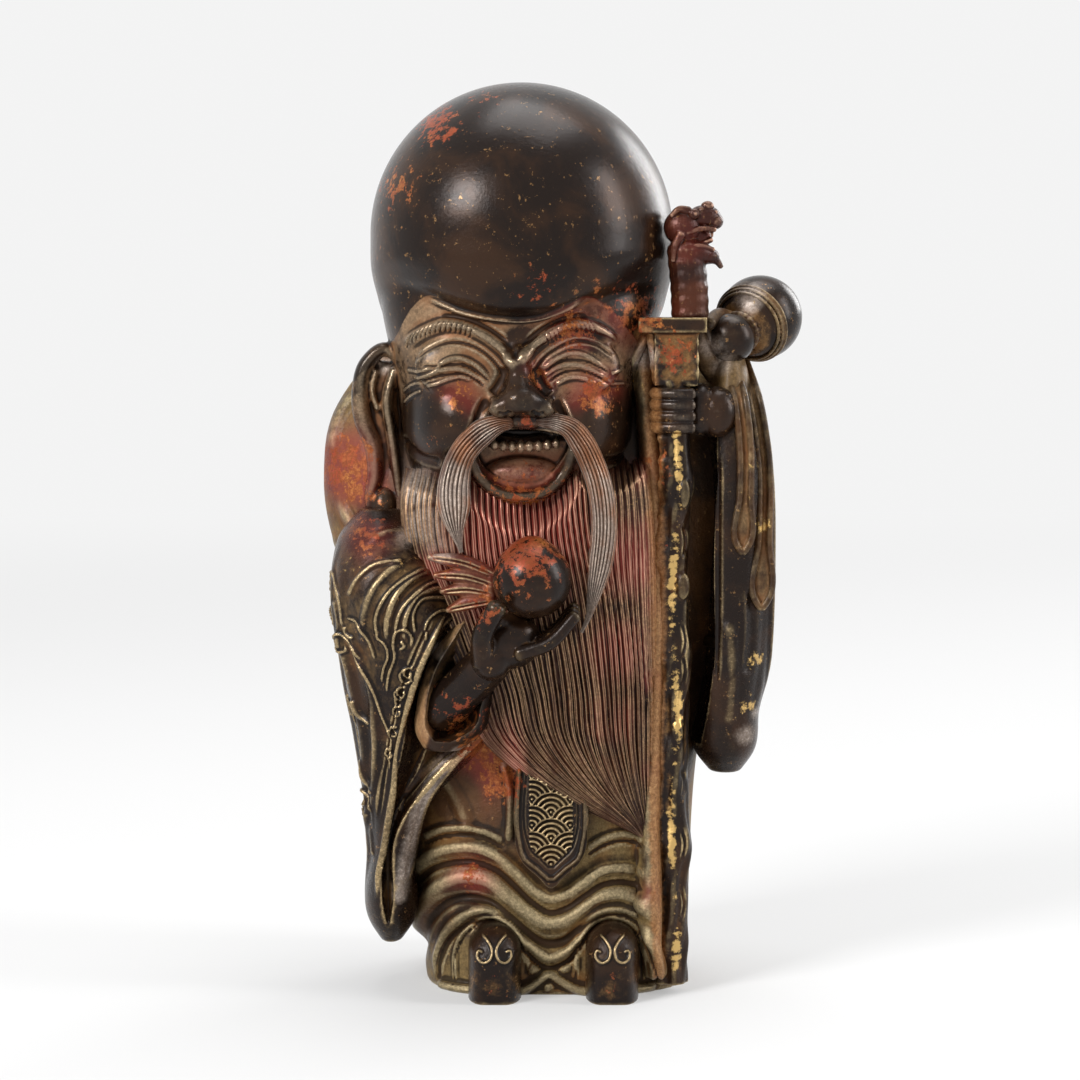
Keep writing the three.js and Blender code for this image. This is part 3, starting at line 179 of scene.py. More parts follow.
def cut(part, tool, how="DIFFERENCE"):
    """One closed form cut by another."""
    body, knife = as_object([part]), as_object([tool])
    bpy.context.scene.collection.objects.link(knife)
    step = body.modifiers.new("cut", "BOOLEAN")
    step.object, step.operation, step.solver = knife, how, "EXACT"
    p, corners, start = worked(body)
    bpy.data.objects.remove(knife)
    return p, [list(f) for f in np.split(corners, start[1:])]


class Clay:
    """One fine even skin of four-sided faces, which is smoothed and carved before it is cast."""

    def __init__(self, p, faces, voxel):
        self.p, self.faces, self.voxel = p, faces, voxel
        sides = np.concatenate([faces[:, [0, 1]], faces[:, [1, 2]], faces[:, [2, 3]], faces[:, [3, 0]]])
        self.edges = np.unique(np.sort(sides, axis=1), axis=0)
        self.degree = np.maximum(1, np.bincount(self.edges.ravel(), minlength=len(p)))
        self.h = np.zeros(len(p))
        self.n = self.normals()

    def blurred(self, p, rounds, weight=0.5):
        a, b, n = self.edges[:, 0], self.edges[:, 1], len(self.p)
        for _ in range(rounds):
            mean = np.column_stack([np.bincount(a, p[b, k], n) + np.bincount(b, p[a, k], n)
                                    for k in range(p.shape[1])])
            p = p + weight * (mean / self.degree[:, None] - p)
        return p

    def normals(self):
        q = self.p[self.faces]
        n = np.cross(q[:, 2] - q[:, 0], q[:, 3] - q[:, 1])
        sums = np.column_stack([sum(np.bincount(self.faces[:, c], n[:, k], len(self.p)) for c in range(4))
                                for k in range(3)])
        return sums / np.maximum(1e-12, np.linalg.norm(sums, axis=1))[:, None]

    def stroke(self, points, width, height, ends=0.15, facing=0.1, side=0):
        """Raises a rounded line of x, z points on the front, or of y, z points on the right
        (side -1) or left (side 1) outside; it sinks one if the height is negative."""
        p, n = self.p, self.n
        if side:
            p, n = (np.column_stack([v[:, 1], -side * v[:, 0], v[:, 2]]) for v in (p, n))
        line = bend(points, max(8, 4 * len(points))) if len(points) > 2 else np.array(points, float)
        half = width / 2
        low, high = line.min(0) - half, line.max(0) + half
        x, z = p[:, 0], p[:, 2]
        inside = (x > low[0]) & (x < high[0]) & (z > low[1]) & (z < high[1])
        near = np.flatnonzero(inside & (n[:, 1] < facing))
        if not len(near):
            return
        run = np.diff(line, axis=0)
        length = np.linalg.norm(run, axis=1)
        passed = np.concatenate([[0], np.cumsum(length)])
        rel = p[near][:, None, [0, 2]] - line[None, :-1]
        u = np.clip((rel * run).sum(2) / length ** 2, 0, 1)
        gap = ((rel - u[..., None] * run) ** 2).sum(2)
        best = gap.argmin(1)
        row = np.arange(len(near))
        d = np.sqrt(gap[row, best]) / half
        t = (passed[best] + u[row, best] * length[best]) / passed[-1]
        taper = ease(np.minimum(t, 1 - t) + 1e-6, 0, ends) if ends else 1
        self.h[near] += height * 0.5 * (1 + np.cos(np.pi * np.minimum(1, d))) * taper

    def engrave(self, lines, **how):
        for points, width, height in lines:
            self.stroke(points, width, height, **how)

    def carve(self):
        self.p = self.p + self.n * self.h[:, None]
        self.h = np.zeros(len(self.p))
        self.n = self.normals()


def fused(parts, voxel, smooth=6):
    """Closed forms fused into one clay, and smoothed without shrinking it."""
    obj = as_object(parts)
    step = obj.modifiers.new("fuse", "REMESH")
    step.mode, step.voxel_size = "VOXEL", voxel
    p, corners, _ = worked(obj)
    clay = Clay(p, corners.reshape(-1, 4), voxel)
    for _ in range(smooth):
        clay.p = clay.blurred(clay.blurred(clay.p, 1, 0.6), 1, -0.35)
    clay.n = clay.normals()
    return clay


# Places on the front where the coat is worn or polished: x, z, radius and strength. A few of the
# gold and pale places are painted highlights, as marked below. They are shared, because the wear
# runs on from one piece to the next.
RED = [(-28, 69, 5, 1.0), (-25, 61, 3.4, 0.8), (-21, 106, 4, 0.75), (-16, 114, 4, 0.85),
       (-10, 117, 3, 0.6), (-24, 97, 3, 0.4), (5, 92.5, 4, 0.5), (-3, 93, 4, 0.6),
       (-5, 62, 8.5, 1.0), (9, 58, 5, 0.65), (7.4, 46, 4.5, 0.6), (7, 37, 3.5, 0.45),
       (-2.6, 82, 2.4, 0.8), (1.5, 87.6, 3, 0.9), (4.4, 79.4, 3.4, 1.0), (-13, 79, 2.8, 0.8),
       (-8, 29, 4, 1.0), (-10, 33, 4.4, 1.0), (-8.7, 3, 2.6, 0.5), (6.7, 3, 2.6, 0.5),
       (-2.4, 59.2, 2, 0.5), (-13, 37, 5, 0.7), (-17, 73, 2, 0.5), (-15.5, 57, 3, 0.75),
       (17, 99, 4.5, 0.4), (12, 70, 3, 0.6), (-10, 52.6, 3, 0.8), (-11.8, 15.6, 3, 0.8),
       (9.5, 90, 5, 0.8), (-4.4, 76, 1.2, 1.0), (11.8, 62, 2, 0.5), (11.8, 52, 2, 0.4),
       (12, 42, 2, 0.5), (12, 30, 2, 0.4), (12, 14, 2, 0.5), (14.8, 84.4, 3, 0.75),
       (-24.6, 66, 2.6, 0.7)]
# the gold line down the front of the staff is partly rubbed gold and partly a painted highlight
GOLD = [(14.9 + 0.4 * math.sin(z * 0.21), z, 0.75, 0.6 + 0.22 * math.sin(z * 0.37)) for z in range(4, 75)]
GOLD += [(14.4, 84, 2.4, 0.3), (-12, 15, 3, 0.35), (25, 70, 1.6, 0.4), (26.4, 62, 1.6, 0.5),
         (24, 66, 1.4, 0.4), (25.6, 44, 1.8, 0.55), (24.6, 38, 2.0, 0.5), (9.6, 80, 2.6, 0.35),
         (-24.6, 76, 2.4, 0.3), (-20, 57, 3, 0.3), (-27, 57, 3, 0.3), (24.4, 91, 2, 0.35)]
POLISH = [(-16.0, 75.2, 4.6, 1.25), (-12.4, 73.4, 2.4, 1.0), (5.6, 74.8, 4.6, 1.25),
          (9.4, 72.4, 3, 0.9), (-5.0, 78.3, 3.6, 1.6), (-5.2, 81.4, 1.6, 0.9),
          (-23.4, 64.4, 2.2, 1.2), (-5.4, 86.2, 2.2, 0.8), (2, 87.4, 3, 0.6), (-14, 43, 4, 0.8),
          (-8, 24.6, 5, 0.7), (-17, 10, 3.2, 1.0), (-13.5, 12.6, 2.4, 0.8), (-20.6, 69, 3, 0.7),
          (-12.5, 26, 3.4, 0.9), (11.6, 66, 3, 0.5), (-27, 36, 5, 0.55), (-25, 22, 6, 0.65),
          (-22.6, 30, 3, 0.45)]
PALE = [(-18.4, 67, 2.6, 0.9), (-17.4, 62.6, 2.6, 1.0), (-15.6, 59.4, 2.4, 0.8), (-20, 61, 2, 0.6),
        (-14.2, 66, 1.8, 0.7), (19.6, 85.4, 2, 0.6), (21.4, 83, 2, 0.6), (10.8, 84, 2.2, 0.7),
        # painted highlights: the bright lower edge of the left sleeve at 24.4, 34.2 and 25.7, 37, and the
        # upper rim of the ear at -23.4, 82.6
        (-16, 46, 1.6, 0.5), (24.8, 91.6, 2.0, 1.0), (-10.6, 17.2, 2, 0.3), (24.4, 34.2, 1.8, 0.6),
        (25.7, 37, 1.2, 0.5), (-23.4, 82.6, 1.5, 0.7)]
SLEEVE_LIP = [(-13.4, 32.8), (-15.8, 30), (-17.6, 27), (-18.9, 24), (-19.8, 20.5), (-20.6, 17),
              (-21.2, 13.2)]
PALE += [(x, z, 1.3, 0.64) for x, z in bend(SLEEVE_LIP, 26)]
# the narrow fold beside the staff is rubbed down to tan from the floor to the block
TAN = [(float(np.interp(z, [3, 22, 50, 79, 87], [12.9, 12.3, 12.7, 11.8, 10.8])), z,
        float(np.interp(z, [20, 50], [1.2, 1.5])), 0.8) for z in range(3, 88)]


def patch(p, places):
    total = np.zeros(len(p))
    for x, z, radius, strength in places:
        gap = (p[:, 0] - x) ** 2 + (p[:, 2] - z) ** 2
        total = np.maximum(total, strength * np.exp(-gap / (1.2 * radius ** 2)))
    return total * ease(-p[:, 1], -14, -2)


def cast(name, clay, material, fine=0.09, wide=0.5, polish_and_painted_shade=0.0, dull=0.0):
    """Turns carved clay into the piece that stands for its CAD node."""
    # how far each point stands out of its surroundings, close by and further away
    close = ((clay.p - clay.blurred(clay.p, 6)) * clay.n).sum(1) / fine
    rounds = min(90, int(max(8, (1.6 / clay.voxel) ** 2)))
    far = ((clay.p - clay.blurred(clay.p, rounds)) * clay.n).sum(1) / wide
    mesh = bpy.data.meshes.new(name)
    mesh.vertices.add(len(clay.p))
    mesh.vertices.foreach_set("co", ((clay.p + FOOT_TO_BOX) / 1000).ravel())
    mesh.loops.add(clay.faces.size)
    mesh.loops.foreach_set("vertex_index", clay.faces.ravel())
    mesh.polygons.add(len(clay.faces))
    mesh.polygons.foreach_set("loop_start", np.arange(0, clay.faces.size, 4))
    mesh.update(calc_edges=True)
    mesh.polygons.foreach_set("use_smooth", np.ones(len(clay.faces), bool))
    marks = {"close": close, "far": far, "polish_and_painted_shade": np.maximum(patch(clay.p, POLISH), polish_and_painted_shade) - dull,
             "red": patch(clay.p, RED), "gold": patch(clay.p, GOLD),
             "pale": patch(clay.p, PALE), "tan": patch(clay.p, TAN)}
    for label, value in marks.items():
        layer = mesh.attributes.new(label, "FLOAT", "POINT")
        layer.data.foreach_set("value", np.clip(value, -1, 1.4).astype(np.float32))
    mesh.materials.append(material)
    obj = bpy.data.objects.new(name + "_cast", mesh)
    bpy.context.scene.collection.objects.link(obj)
    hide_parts(name)
    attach(obj, "root")


class Bench:
    """Makes and joins the nodes of one finish."""

    def __init__(self, owner):
        owner.use_nodes = True
        self.nodes, self.links = owner.node_tree.nodes, owner.node_tree.links

    def feed(self, socket, v):
        if isinstance(v, (int, float)):
            socket.default_value = v
        elif isinstance(v, tuple):
            socket.default_value = (*v, 1)
        else:
            self.links.new(v, socket)

    def node(self, kind, out, inputs, **settings):
        """A new node with its settings and inputs, joined; gives its output."""
        n = self.nodes.new("ShaderNode" + kind)
        for label, v in settings.items():
            setattr(n, label, v)
        for socket, v in inputs.items():
            self.feed(n.inputs[socket], v)
        return n.outputs[out]

    def worn(self, label):
        return self.node("Attribute", "Fac", {}, attribute_name=label)

    def noise(self, scale, detail=4.0, rough=0.55, distort=0.0, space="Object"):
        where = self.node("TexCoord", space, {})
        return self.node("TexNoise", "Fac", {"Vector": where, "Scale": scale, "Detail": detail,
                                             "Roughness": rough, "Distortion": distort})

    def calc(self, op, *values):
        return self.node("Math", 0, dict(enumerate(values)), operation=op)

    def plus(self, a, b):
        return self.calc("ADD", a, b)

    def times(self, a, b):
        return self.calc("MULTIPLY", a, b)

    def scaled(self, value, by, shift):
        return self.calc("MULTIPLY_ADD", value, by, shift)

    def ramp(self, value, low, high, start=0.0, end=1.0, curve="SMOOTHSTEP"):
        return self.node("MapRange", "Result", {"Value": value, "From Min": low, "From Max": high,
                                                "To Min": start, "To Max": end}, interpolation_type=curve)

    def mix(self, share, a, b):
        return self.node("Mix", 2, {0: share, 6: a, 7: b}, data_type="RGBA")

    def bump(self, height, strength, distance):
        return self.node("Bump", "Normal", {"Height": height, "Strength": strength, "Distance": distance})


LACQUER_RED, LACQUER_ORANGE, LACQUER_WORN = (0.33, 0.055, 0.022), (0.42, 0.16, 0.04), (0.21, 0.05, 0.015)
SUNK_RED, RED_CREST, OCHRE_FLECK = (0.20, 0.028, 0.020), (0.52, 0.25, 0.18), (0.24, 0.13, 0.05)
TAN_LOW, TAN_HIGH = (0.20, 0.085, 0.03), (0.40, 0.20, 0.08)
PALE_LOW, PALE_HIGH = (0.27, 0.21, 0.17), (0.50, 0.42, 0.36)
BRIGHT_GOLD = (0.58, 0.38, 0.14)


def tinted(colour, *factors):
    """A colour made lighter or darker by one factor, or by one for each channel."""
    return tuple(min(1, f * c) for f, c in zip(factors * 3, colour))


def patina(name, coat, dust, crest, dusted=0.5, gilded=0.6, flaking=1.0, blush=0.0, gloss=0.30,
           pores=1.0):
    """Patinated bronze. A dark polished coat, which also lays painted shade where a piece asks for
    it, pale dust and wax on the quiet ground, near black fine grooves, rubbed crests that are partly
    a painted highlight on some pieces, and worn red lacquer in flakes or as a soft blush."""
    material = bpy.data.materials.new(name)
    bench = Bench(material)
    noise, plus, times, scaled = bench.noise, bench.plus, bench.times, bench.scaled
    worn, ramp, mix = bench.worn, bench.ramp, bench.mix
    close, far, red, polish_and_painted_shade = worn("close"), worn("far"), worn("red"), worn("polish_and_painted_shade")
    matt = ramp(polish_and_painted_shade, 0.9, 0.2)
    broad, blotch = noise(110, 4, 0.6, 0.5), noise(330, 7, 0.7, 0.2)
    flake, speck = noise(800, 8, 0.72), noise(2400, 3, 0.8)
    grain = ramp(speck, 0.35, 0.7)
    # dust and wax lie on the quiet ground and in the broad hollows, never on polished places or on
    # painted shade
    lie = plus(plus(scaled(far, -0.5, dusted), scaled(blotch, 0.9, -0.45)), times(polish_and_painted_shade, -0.62))
    dusty = ramp(lie, 0.34, 0.66)
    dust_tone = mix(grain, tinted(dust, 0.7), tinted(dust, 1.3))
    low_ground = ramp(plus(times(far, -0.7), scaled(broad, 2.0, -0.95)), 0.0, 0.5)
    dust_tone = mix(times(low_ground, 0.8), dust_tone, tinted(dust, 0.80, 0.48, 0.28))
    coat_tone = mix(ramp(broad, 0.42, 0.66), coat, tinted(coat, 2.9, 2.4, 1.6))
    coat_tone = mix(ramp(scaled(speck, 0.6, flake), 0.94, 0.99), coat_tone, OCHRE_FLECK)
    colour = mix(dusty, coat_tone, dust_tone)
    # a coat that is rubbed thin shows tan, and it is pale where dust has set on hair and cloth and where
    # a painted highlight is laid
    uneven = scaled(blotch, 0.7, -0.35)
    tanned = ramp(plus(worn("tan"), uneven), 0.35, 0.7)
    colour = mix(tanned, colour, mix(grain, TAN_LOW, TAN_HIGH))
    colour = mix(ramp(plus(worn("pale"), uneven), 0.25, 0.8), colour, mix(grain, PALE_LOW, PALE_HIGH))
    # soft red that has sunk into the ground
    patchy = scaled(blotch, 0.5, -0.25)
    blushed = times(ramp(plus(red, patchy), 0.05, 0.75), blush)
    blushed = times(blushed, times(matt, scaled(tanned, -0.7, 1.0)))
    colour = mix(blushed, colour, SUNK_RED)
    groove = ramp(times(close, -1.0), 0.10, 0.55)
    colour = mix(times(groove, 0.85), colour, tinted(coat, 0.35))
    # crests rubbed bright, redder where the ground is red; on the robe and the left hand the pale crest
    # tone is partly a painted highlight
    crest_wear_and_highlight = times(times(ramp(plus(close, patchy), 0.08, 0.62), gilded), scaled(matt, 0.75, 0.25))
    crest_wear_and_highlight = times(crest_wear_and_highlight, scaled(tanned, -0.8, 1.0))
    crest_tone = mix(ramp(speck, 0.42, 0.62), tinted(crest, 0.6), tinted(crest, 1.08))
    colour = mix(crest_wear_and_highlight, colour, mix(times(blushed, 0.9), crest_tone, RED_CREST))
    # broken flakes of red and orange lacquer
    there = plus(times(red, 0.33), scaled(flake, 1.0, -0.12 if flaking > 1 else -0.16))
    in_flake = times(ramp(there, 0.56, 0.63), min(1, flaking))
    flake_tone = mix(ramp(broad, 0.42, 0.6), LACQUER_RED, LACQUER_ORANGE)
    colour = mix(in_flake, colour, mix(ramp(speck, 0.35, 0.6), flake_tone, LACQUER_WORN))
    # bright gold where hands have worn through, and as a painted highlight along the front of the staff
    bright = ramp(plus(times(worn("gold"), 0.5), scaled(flake, 1.0, -0.28)), 0.44, 0.54)
    colour = mix(bright, colour, BRIGHT_GOLD)
    rough = plus(scaled(dusty, 0.22, gloss), scaled(speck, 0.18, -0.09))
    rough = plus(plus(rough, times(in_flake, 0.12)), times(groove, 0.2))
    surface = bench.nodes["Principled BSDF"].inputs
    bench.feed(surface["Base Color"], colour)
    bench.feed(surface["Metallic"], scaled(bench.calc("MAXIMUM", bright, times(crest_wear_and_highlight, 0.6)), 0.7, 0.25))
    bench.feed(surface["Roughness"], rough)
    bench.feed(surface["Normal"], bench.bump(plus(flake, times(speck, 0.6)), 0.45 * pores, 0.0002))
    surface["Specular IOR Level"].default_value = 0.2
    surface["Coat Weight"].default_value = 0.05
    surface["Coat Roughness"].default_value = 0.14
    return material


DARK, BROWN = (0.012, 0.0065, 0.0045), (0.032, 0.017, 0.009)
OLIVE, OCHRE = (0.15, 0.10, 0.040), (0.22, 0.115, 0.04)
SAND, GILT = (0.38, 0.28, 0.18), (0.44, 0.32, 0.17)
BODY_Y = 4.5
ROBE = [[0, -18.2, 16.8, 15.2, 13.5, 3.2], [9, -19.4, 17.2, 15, 14.2, 3],
        [30, -22.4, 18.4, 13.6, 15, 2.6], [48.5, -27.5, 21.8, 13, 15.9, 2.3],
        [67, -32, 25.2, 11, 16, 2.2], [75, -31, 24.8, 8.4, 15.7, 2.1],
        [80, -28.4, 22.3, 5.4, 15, 2], [85, -23.4, 16.8, 1.6, 13, 2],
        [88, -17.2, 10.6, 0.6, 10.4, 2]]
robe_form = column(ROBE, BODY_Y, np.concatenate([np.linspace(0, 80, 60), np.linspace(81.5, 88, 8)]))
foot_recess = column(ROBE, BODY_Y, [-1, 0.5, 2.1], grow=-2.0)
fold_line = [(10.2, 87), (11, 79), (12, 68), (12.4, 50), (12.1, 34), (11.7, 22), (12, 12), (12.6, 3)]
fold_middle = [(x, min(float(front_of(ROBE, BODY_Y, x, z)), -3.4) - 1.4, z) for x, z in fold_line]
fold = rod(fold_middle, lambda t: (1.5, 2.6), 60)
robe = fused([cut(robe_form, foot_recess), fold], 0.3)
robe.p[:, 2] = np.maximum(robe.p[:, 2], 0)
hem = [  # points, width, height
    ([(-18.4, 20), (-16, 21.4), (-13, 21.9), (-9.9, 21.5), (-7.4, 20.4)], 1.5, 0.6),
    ([(3.4, 19.4), (5.4, 20.6), (8, 21.2), (10.8, 20.6)], 1.4, 0.5),
    ([(-19.6, 14), (-18.6, 16.4), (-17, 18), (-14.4, 19.1), (-11.4, 19.4), (-8.6, 18.5),
      (-6, 16.4), (-3.6, 14.1), (-1.4, 12.9), (0.8, 13.5), (3, 15), (5.4, 16.5), (8, 16.8),
      (11.4, 15.8)], 3.0, 1.0),
    ([(-19.2, 4), (-18.3, 9), (-17.1, 12.4), (-15.2, 14.5), (-12.5, 15.5), (-9.5, 15.1),
      (-7.1, 13.3), (-4.6, 11.2), (-2.1, 9.8), (0.3, 10), (2.5, 11.4), (4.9, 13), (7.6, 13.4),
      (10, 12.3), (12.2, 9.8)], 4.3, 1.35),
    ([(-16.4, 0.6), (-16, 5), (-14.3, 9), (-11.5, 11), (-8.7, 11.3), (-6.3, 9.4), (-4.1, 6.7),
      (-1.7, 5.1), (0.7, 5.9), (2.9, 8.8), (5.3, 10.9), (8, 10.9), (10.8, 9), (12.6, 4.6),
      (12.8, 1)], 2.3, 1.1),
    ([(-14.0, 0.8), (-13.7, 6.4), (-12, 9.1), (-9.2, 10.3), (-6.6, 9.4), (-5.0, 7),
      (-4.5, 3)], 0.9, 0.6),
    ([(1.9, 2.2), (2.4, 6.6), (3.8, 9.2), (6.6, 10.3), (9.4, 9.2), (10.9, 6.4),
      (11.2, 1)], 0.9, 0.6)]
for line, width, height in hem:
    robe.stroke(line, 1.25 * width, 0.5 * height, ends=0.08)
    robe.stroke(line, 0.8 * width, 0.4 * height, ends=0.08)
    robe.stroke([(x, z - 0.66 * width) for x, z in line], width * 0.5, -0.6 * height, ends=0.08)
# the rim on the floor and the knot between the shoes
floor_rim = [(-17, 0.7), (-9, 0.6), (-4.6, 0.9), (-2.6, 2.2), (-1.6, 2.9), (-0.4, 2.2), (2, 0.9),
             (7, 0.6), (13, 0.9)]
robe.stroke(floor_rim, 1.8, 1.0, ends=0.05)
for x, z in ((-3.6, 3.4), (0.6, 3.6), (-1.6, 1.2)):
    robe.stroke([(x - 0.8, z - 0.3), (x + 0.8, z + 0.3)], 1.6, 0.5, ends=0.4)
# folds at the hip, under the beard and beside the staff
robe.engrave([
    ([(-7.9, 31.5), (-6.9, 28), (-6.7, 23), (-7, 19.8)], 1.8, 0.8),
    ([(-16, 29), (-13.4, 25), (-12, 21)], 3.2, 0.5),
    ([(13.6, 30), (13.9, 22), (13.9, 11), (13.6, 3)], 1.4, -0.5),
    ([(8.6, 80), (9.6, 83.6), (10.8, 86.2), (12, 88)], 1.5, 0.8)])
robe.engrave([
    ([(-30, 66), (-28, 62), (-25.6, 59.6), (-21, 58.6)], 2.6, 0.55),
    ([(-31, 70), (-29.6, 76), (-26.6, 80)], 2.6, 0.55),
    ([(-30.6, 60), (-28, 57), (-25, 56)], 2.6, 0.55)], ends=0.3, facing=0.2)
# long quiet folds down the back
FOLD_APART = 14
x, y, z = robe.p.T
back = ease(y - BODY_Y, 3, 10) * ease(75 - z, 0, 40) * ease(z, 3, 14)
phase = 2 * np.pi * (x + 2 + 0.8 * np.sin(z / 13)) / FOLD_APART
robe.h -= back * (0.55 - 0.55 * np.cos(phase) + 0.12 * np.sin(2.8 * phase + z / 9))
# a chased border along the hem, and the rolled edge of the collar behind the head
above_border = z - 5.4 - 0.8 * np.cos(phase)
round_back = ease(y, 2.5, 6)
border = 0.35 * ridge(above_border, 0.5) - 0.35 * ridge(above_border - 1.1, 0.4)
robe.h += round_back * (border + 0.25 * ridge(above_border - 2.2, 0.45))
robe.h += ease(y, 1, 6) * (0.7 * ridge(z - 84.6, 1.3) - 0.45 * ridge(z - 81.9, 0.7))
robe.carve()
robe.p[:, 2] = np.maximum(robe.p[:, 2], 0)
x, y, z = robe.p.T
# painted shade: the front to the right of the staff is darkened from z 30 up; the crests of the back
# folds and the foot of the back are polished by handling
painted_shade_beside_staff = ease(x, 14.6, 16) * ease(z, 14, 30) * ease(-y, 0, 3)
on_folds = back * (0.5 + 0.5 * np.cos(phase))
handling_and_painted_shade = 0.9 * painted_shade_beside_staff + 0.75 * on_folds + 0.4 * round_back * ease(-z, -4.6, -3)
# the pale crest colour on the hem folds is partly rubbed wax and partly a painted highlight
bronze_robe = patina("bronze_robe", BROWN, (0.20, 0.133, 0.052), (0.50, 0.395, 0.22), dusted=0.56,
                     gilded=0.66, flaking=1.0, blush=0.8, gloss=0.32, pores=1.8)
cast("robe_body", robe, bronze_robe, polish_and_painted_shade=handling_and_painted_shade)

# Head. A separate hollow casting: the tall bald dome is polished to a mirror, the laughing
# face below it is chased with fine lines. It sits in the robe on a pinned neck spigot.
HEAD_X, HEAD_Y, DOME_R, DOME_Z, MOUTH_X = -5.2, 1.0, 20.1, 99.9, -5.1
FACE = [[60, -13.8, 2.2, 9, 8, 2], [62, -16.8, 5.2, 12.4, 11, 2.1],
        [66, -19.2, 7.6, 15, 13.4, 2.2], [72, -21, 9.4, 15.8, 15, 2.3],
        [78, -21.4, 9.8, 16, 16, 2.4], [85, -22.8, 11.4, 16.2, 17, 2.3],
        [90, -23.8, 13.4, 16, 17.6, 2.2], [95, -24.2, 13.8, 15, 17.6, 2.1]]


def ball(centre, rx, ry=None, rz=None):
    ry, rz = ry or rx, rz or rx
    around = circle(36)
    rings = []
    for a in np.linspace(0.08, np.pi - 0.08, 22):
        x = centre[0] + rx * math.sin(a) * np.cos(around)
        y = centre[1] + ry * math.sin(a) * np.sin(around)
        rings.append(np.column_stack([x, y, np.full(36, centre[2] - rz * math.cos(a))]))
    return skin(rings)


def slab(outline, front, back):
    """A flat outline in X-Z taken from the front y to the back y."""
    o = np.array(outline, float)
    turn = np.cross(np.roll(o, -1, 0) - o, np.roll(o, -2, 0) - np.roll(o, -1, 0)).sum()
    o = o if turn > 0 else o[::-1]
    ring = [np.column_stack([o[:, 0], np.full(len(o), y), o[:, 1]]) for y in (front, back)]
    n = len(o)
    faces = [[i, i + n, (i + 1) % n + n, (i + 1) % n] for i in range(n)]
    return np.concatenate(ring), faces + [list(range(n)), list(range(2 * n - 1, n - 1, -1))]


def face_y(x, z):
    return float(front_of(FACE, HEAD_Y, np.float64(x), np.float64(z)))


# the dome is a ball above its widest place and draws in a little below it, down to the brow
DOME_FOOT = through([[88.8, 18.2, 0.84], [89.8, 18.7, 0.93], [92, 19.3, 0.985], [94.35, 19.9, 1],
                     [DOME_Z, DOME_R, 1]])
dome_rings = []
dome_heights = [np.linspace(88.6, DOME_Z, 26), DOME_Z + DOME_R * np.sin(np.linspace(0.06, 1.53, 34))]
around = circle(140)
for z in np.concatenate(dome_heights):
    half, bulge = math.sqrt(max(0.01, DOME_R ** 2 - (z - DOME_Z) ** 2)), 1
    if z <= DOME_Z:
        half, bulge = DOME_FOOT(z)
    out = np.where(np.sin(around) < 0, 20.6 * half * bulge / DOME_R, half - 0.5)
    across = np.cos(around) * half
    arched = 0.028 * across ** 2 * np.maximum(0, -np.sin(around)) * float(ease(DOME_Z - z, 0, 11.1))
    dome_rings.append(np.column_stack([HEAD_X + across, HEAD_Y + np.sin(around) * out, z + arched]))
mouth_y = face_y(MOUTH_X, 74.2)
face_parts = [skin(dome_rings), column(FACE, HEAD_Y, np.linspace(60, 94, 60))]
for side in (-1, 1):
    eye_x = -5.6 + side * 7.7
    face_parts += [ball((eye_x, face_y(eye_x, 82) + 1.6, 83.0), 5.8, 2.4, 4.0),
                   ball((-5.0 + side * 2.5, mouth_y - 1.2, 77.9), 2.0, 2.7, 1.6)]
nose = [(-5.4, face_y(-5.3, 84) - 0.1, 85), (-5.3, mouth_y - 0.9, 81.6), (-5.0, mouth_y - 2.4, 79)]
face_parts += [rod(nose, lambda t: 1.2 + 0.9 * t), ball((-5.0, mouth_y - 2.1, 78.7), 2.8, 2.9, 2.2)]
LOWER_LIP = [(-11.6, 72.3), (-10.9, 69.6), (-9, 67.4), (-6.6, 66.4), (-3.6, 66.4), (-1.2, 67.4),
             (0.6, 69.6), (1.4, 72.3)]
lip_line = [(x, face_y(x, z) - 1.3 + 0.14 * abs(x - MOUTH_X), z) for x, z in LOWER_LIP]
head_form = fused(face_parts + [rod(lip_line, lambda t: (0.8, 1.3), 40)], 0.24, 4)
head_form.p = head_form.blurred(head_form.p, 30)
# full cheeks, lifted by the laugh
for x, z, half, high in ((-15.7, 75.5, 6.0, 4.9), (5.3, 75.3, 6.0, 5.0)):
    d = np.hypot((head_form.p[:, 0] - x) / half, (head_form.p[:, 2] - z) / high)
    head_form.p[:, 1] -= 3.1 * np.exp(-d ** 2.8) * ease(-head_form.p[:, 1], 1, 6)
# the open mouth is cut out, then tongue, teeth, upper gum, ears and neck are set in
MOUTH = [(-11.2, 73.6), (-8.4, 74.6), (-5.1, 74.9), (-1.8, 74.6), (1, 73.6), (-0.1, 70.6), (-2, 68.6),
         (-5.1, 67.8), (-8.2, 68.6), (-10.3, 70.6)]
mouth_hollow = slab(bend(MOUTH + MOUTH[:1], 60)[:-1], mouth_y - 4, mouth_y + 2.6)
opened = cut((head_form.p, head_form.faces.tolist()), mouth_hollow)
inside = [ball((MOUTH_X, mouth_y + 2.6, 69.2), 5.0, 2.6, 2.0)]
for x in np.linspace(-9.7, -0.6, 9):
    aside = (x - MOUTH_X) ** 2
    inside.append(ball((x, mouth_y + 0.5 + 0.04 * aside, 72.6 + 0.02 * aside), 0.52, 0.8, 0.78))
inside.append(ball((-4.6, mouth_y - 0.9, 76.1), 2.4, 1.4, 1.1))
gum = [(x, mouth_y + 1.6 + 0.035 * (x - MOUTH_X) ** 2, 73.5 + 0.02 * (x - MOUTH_X) ** 2)
       for x in (-10.4, MOUTH_X, 0.2)]
inside.append(rod(gum, lambda t: (0.5, 0.9), 20))
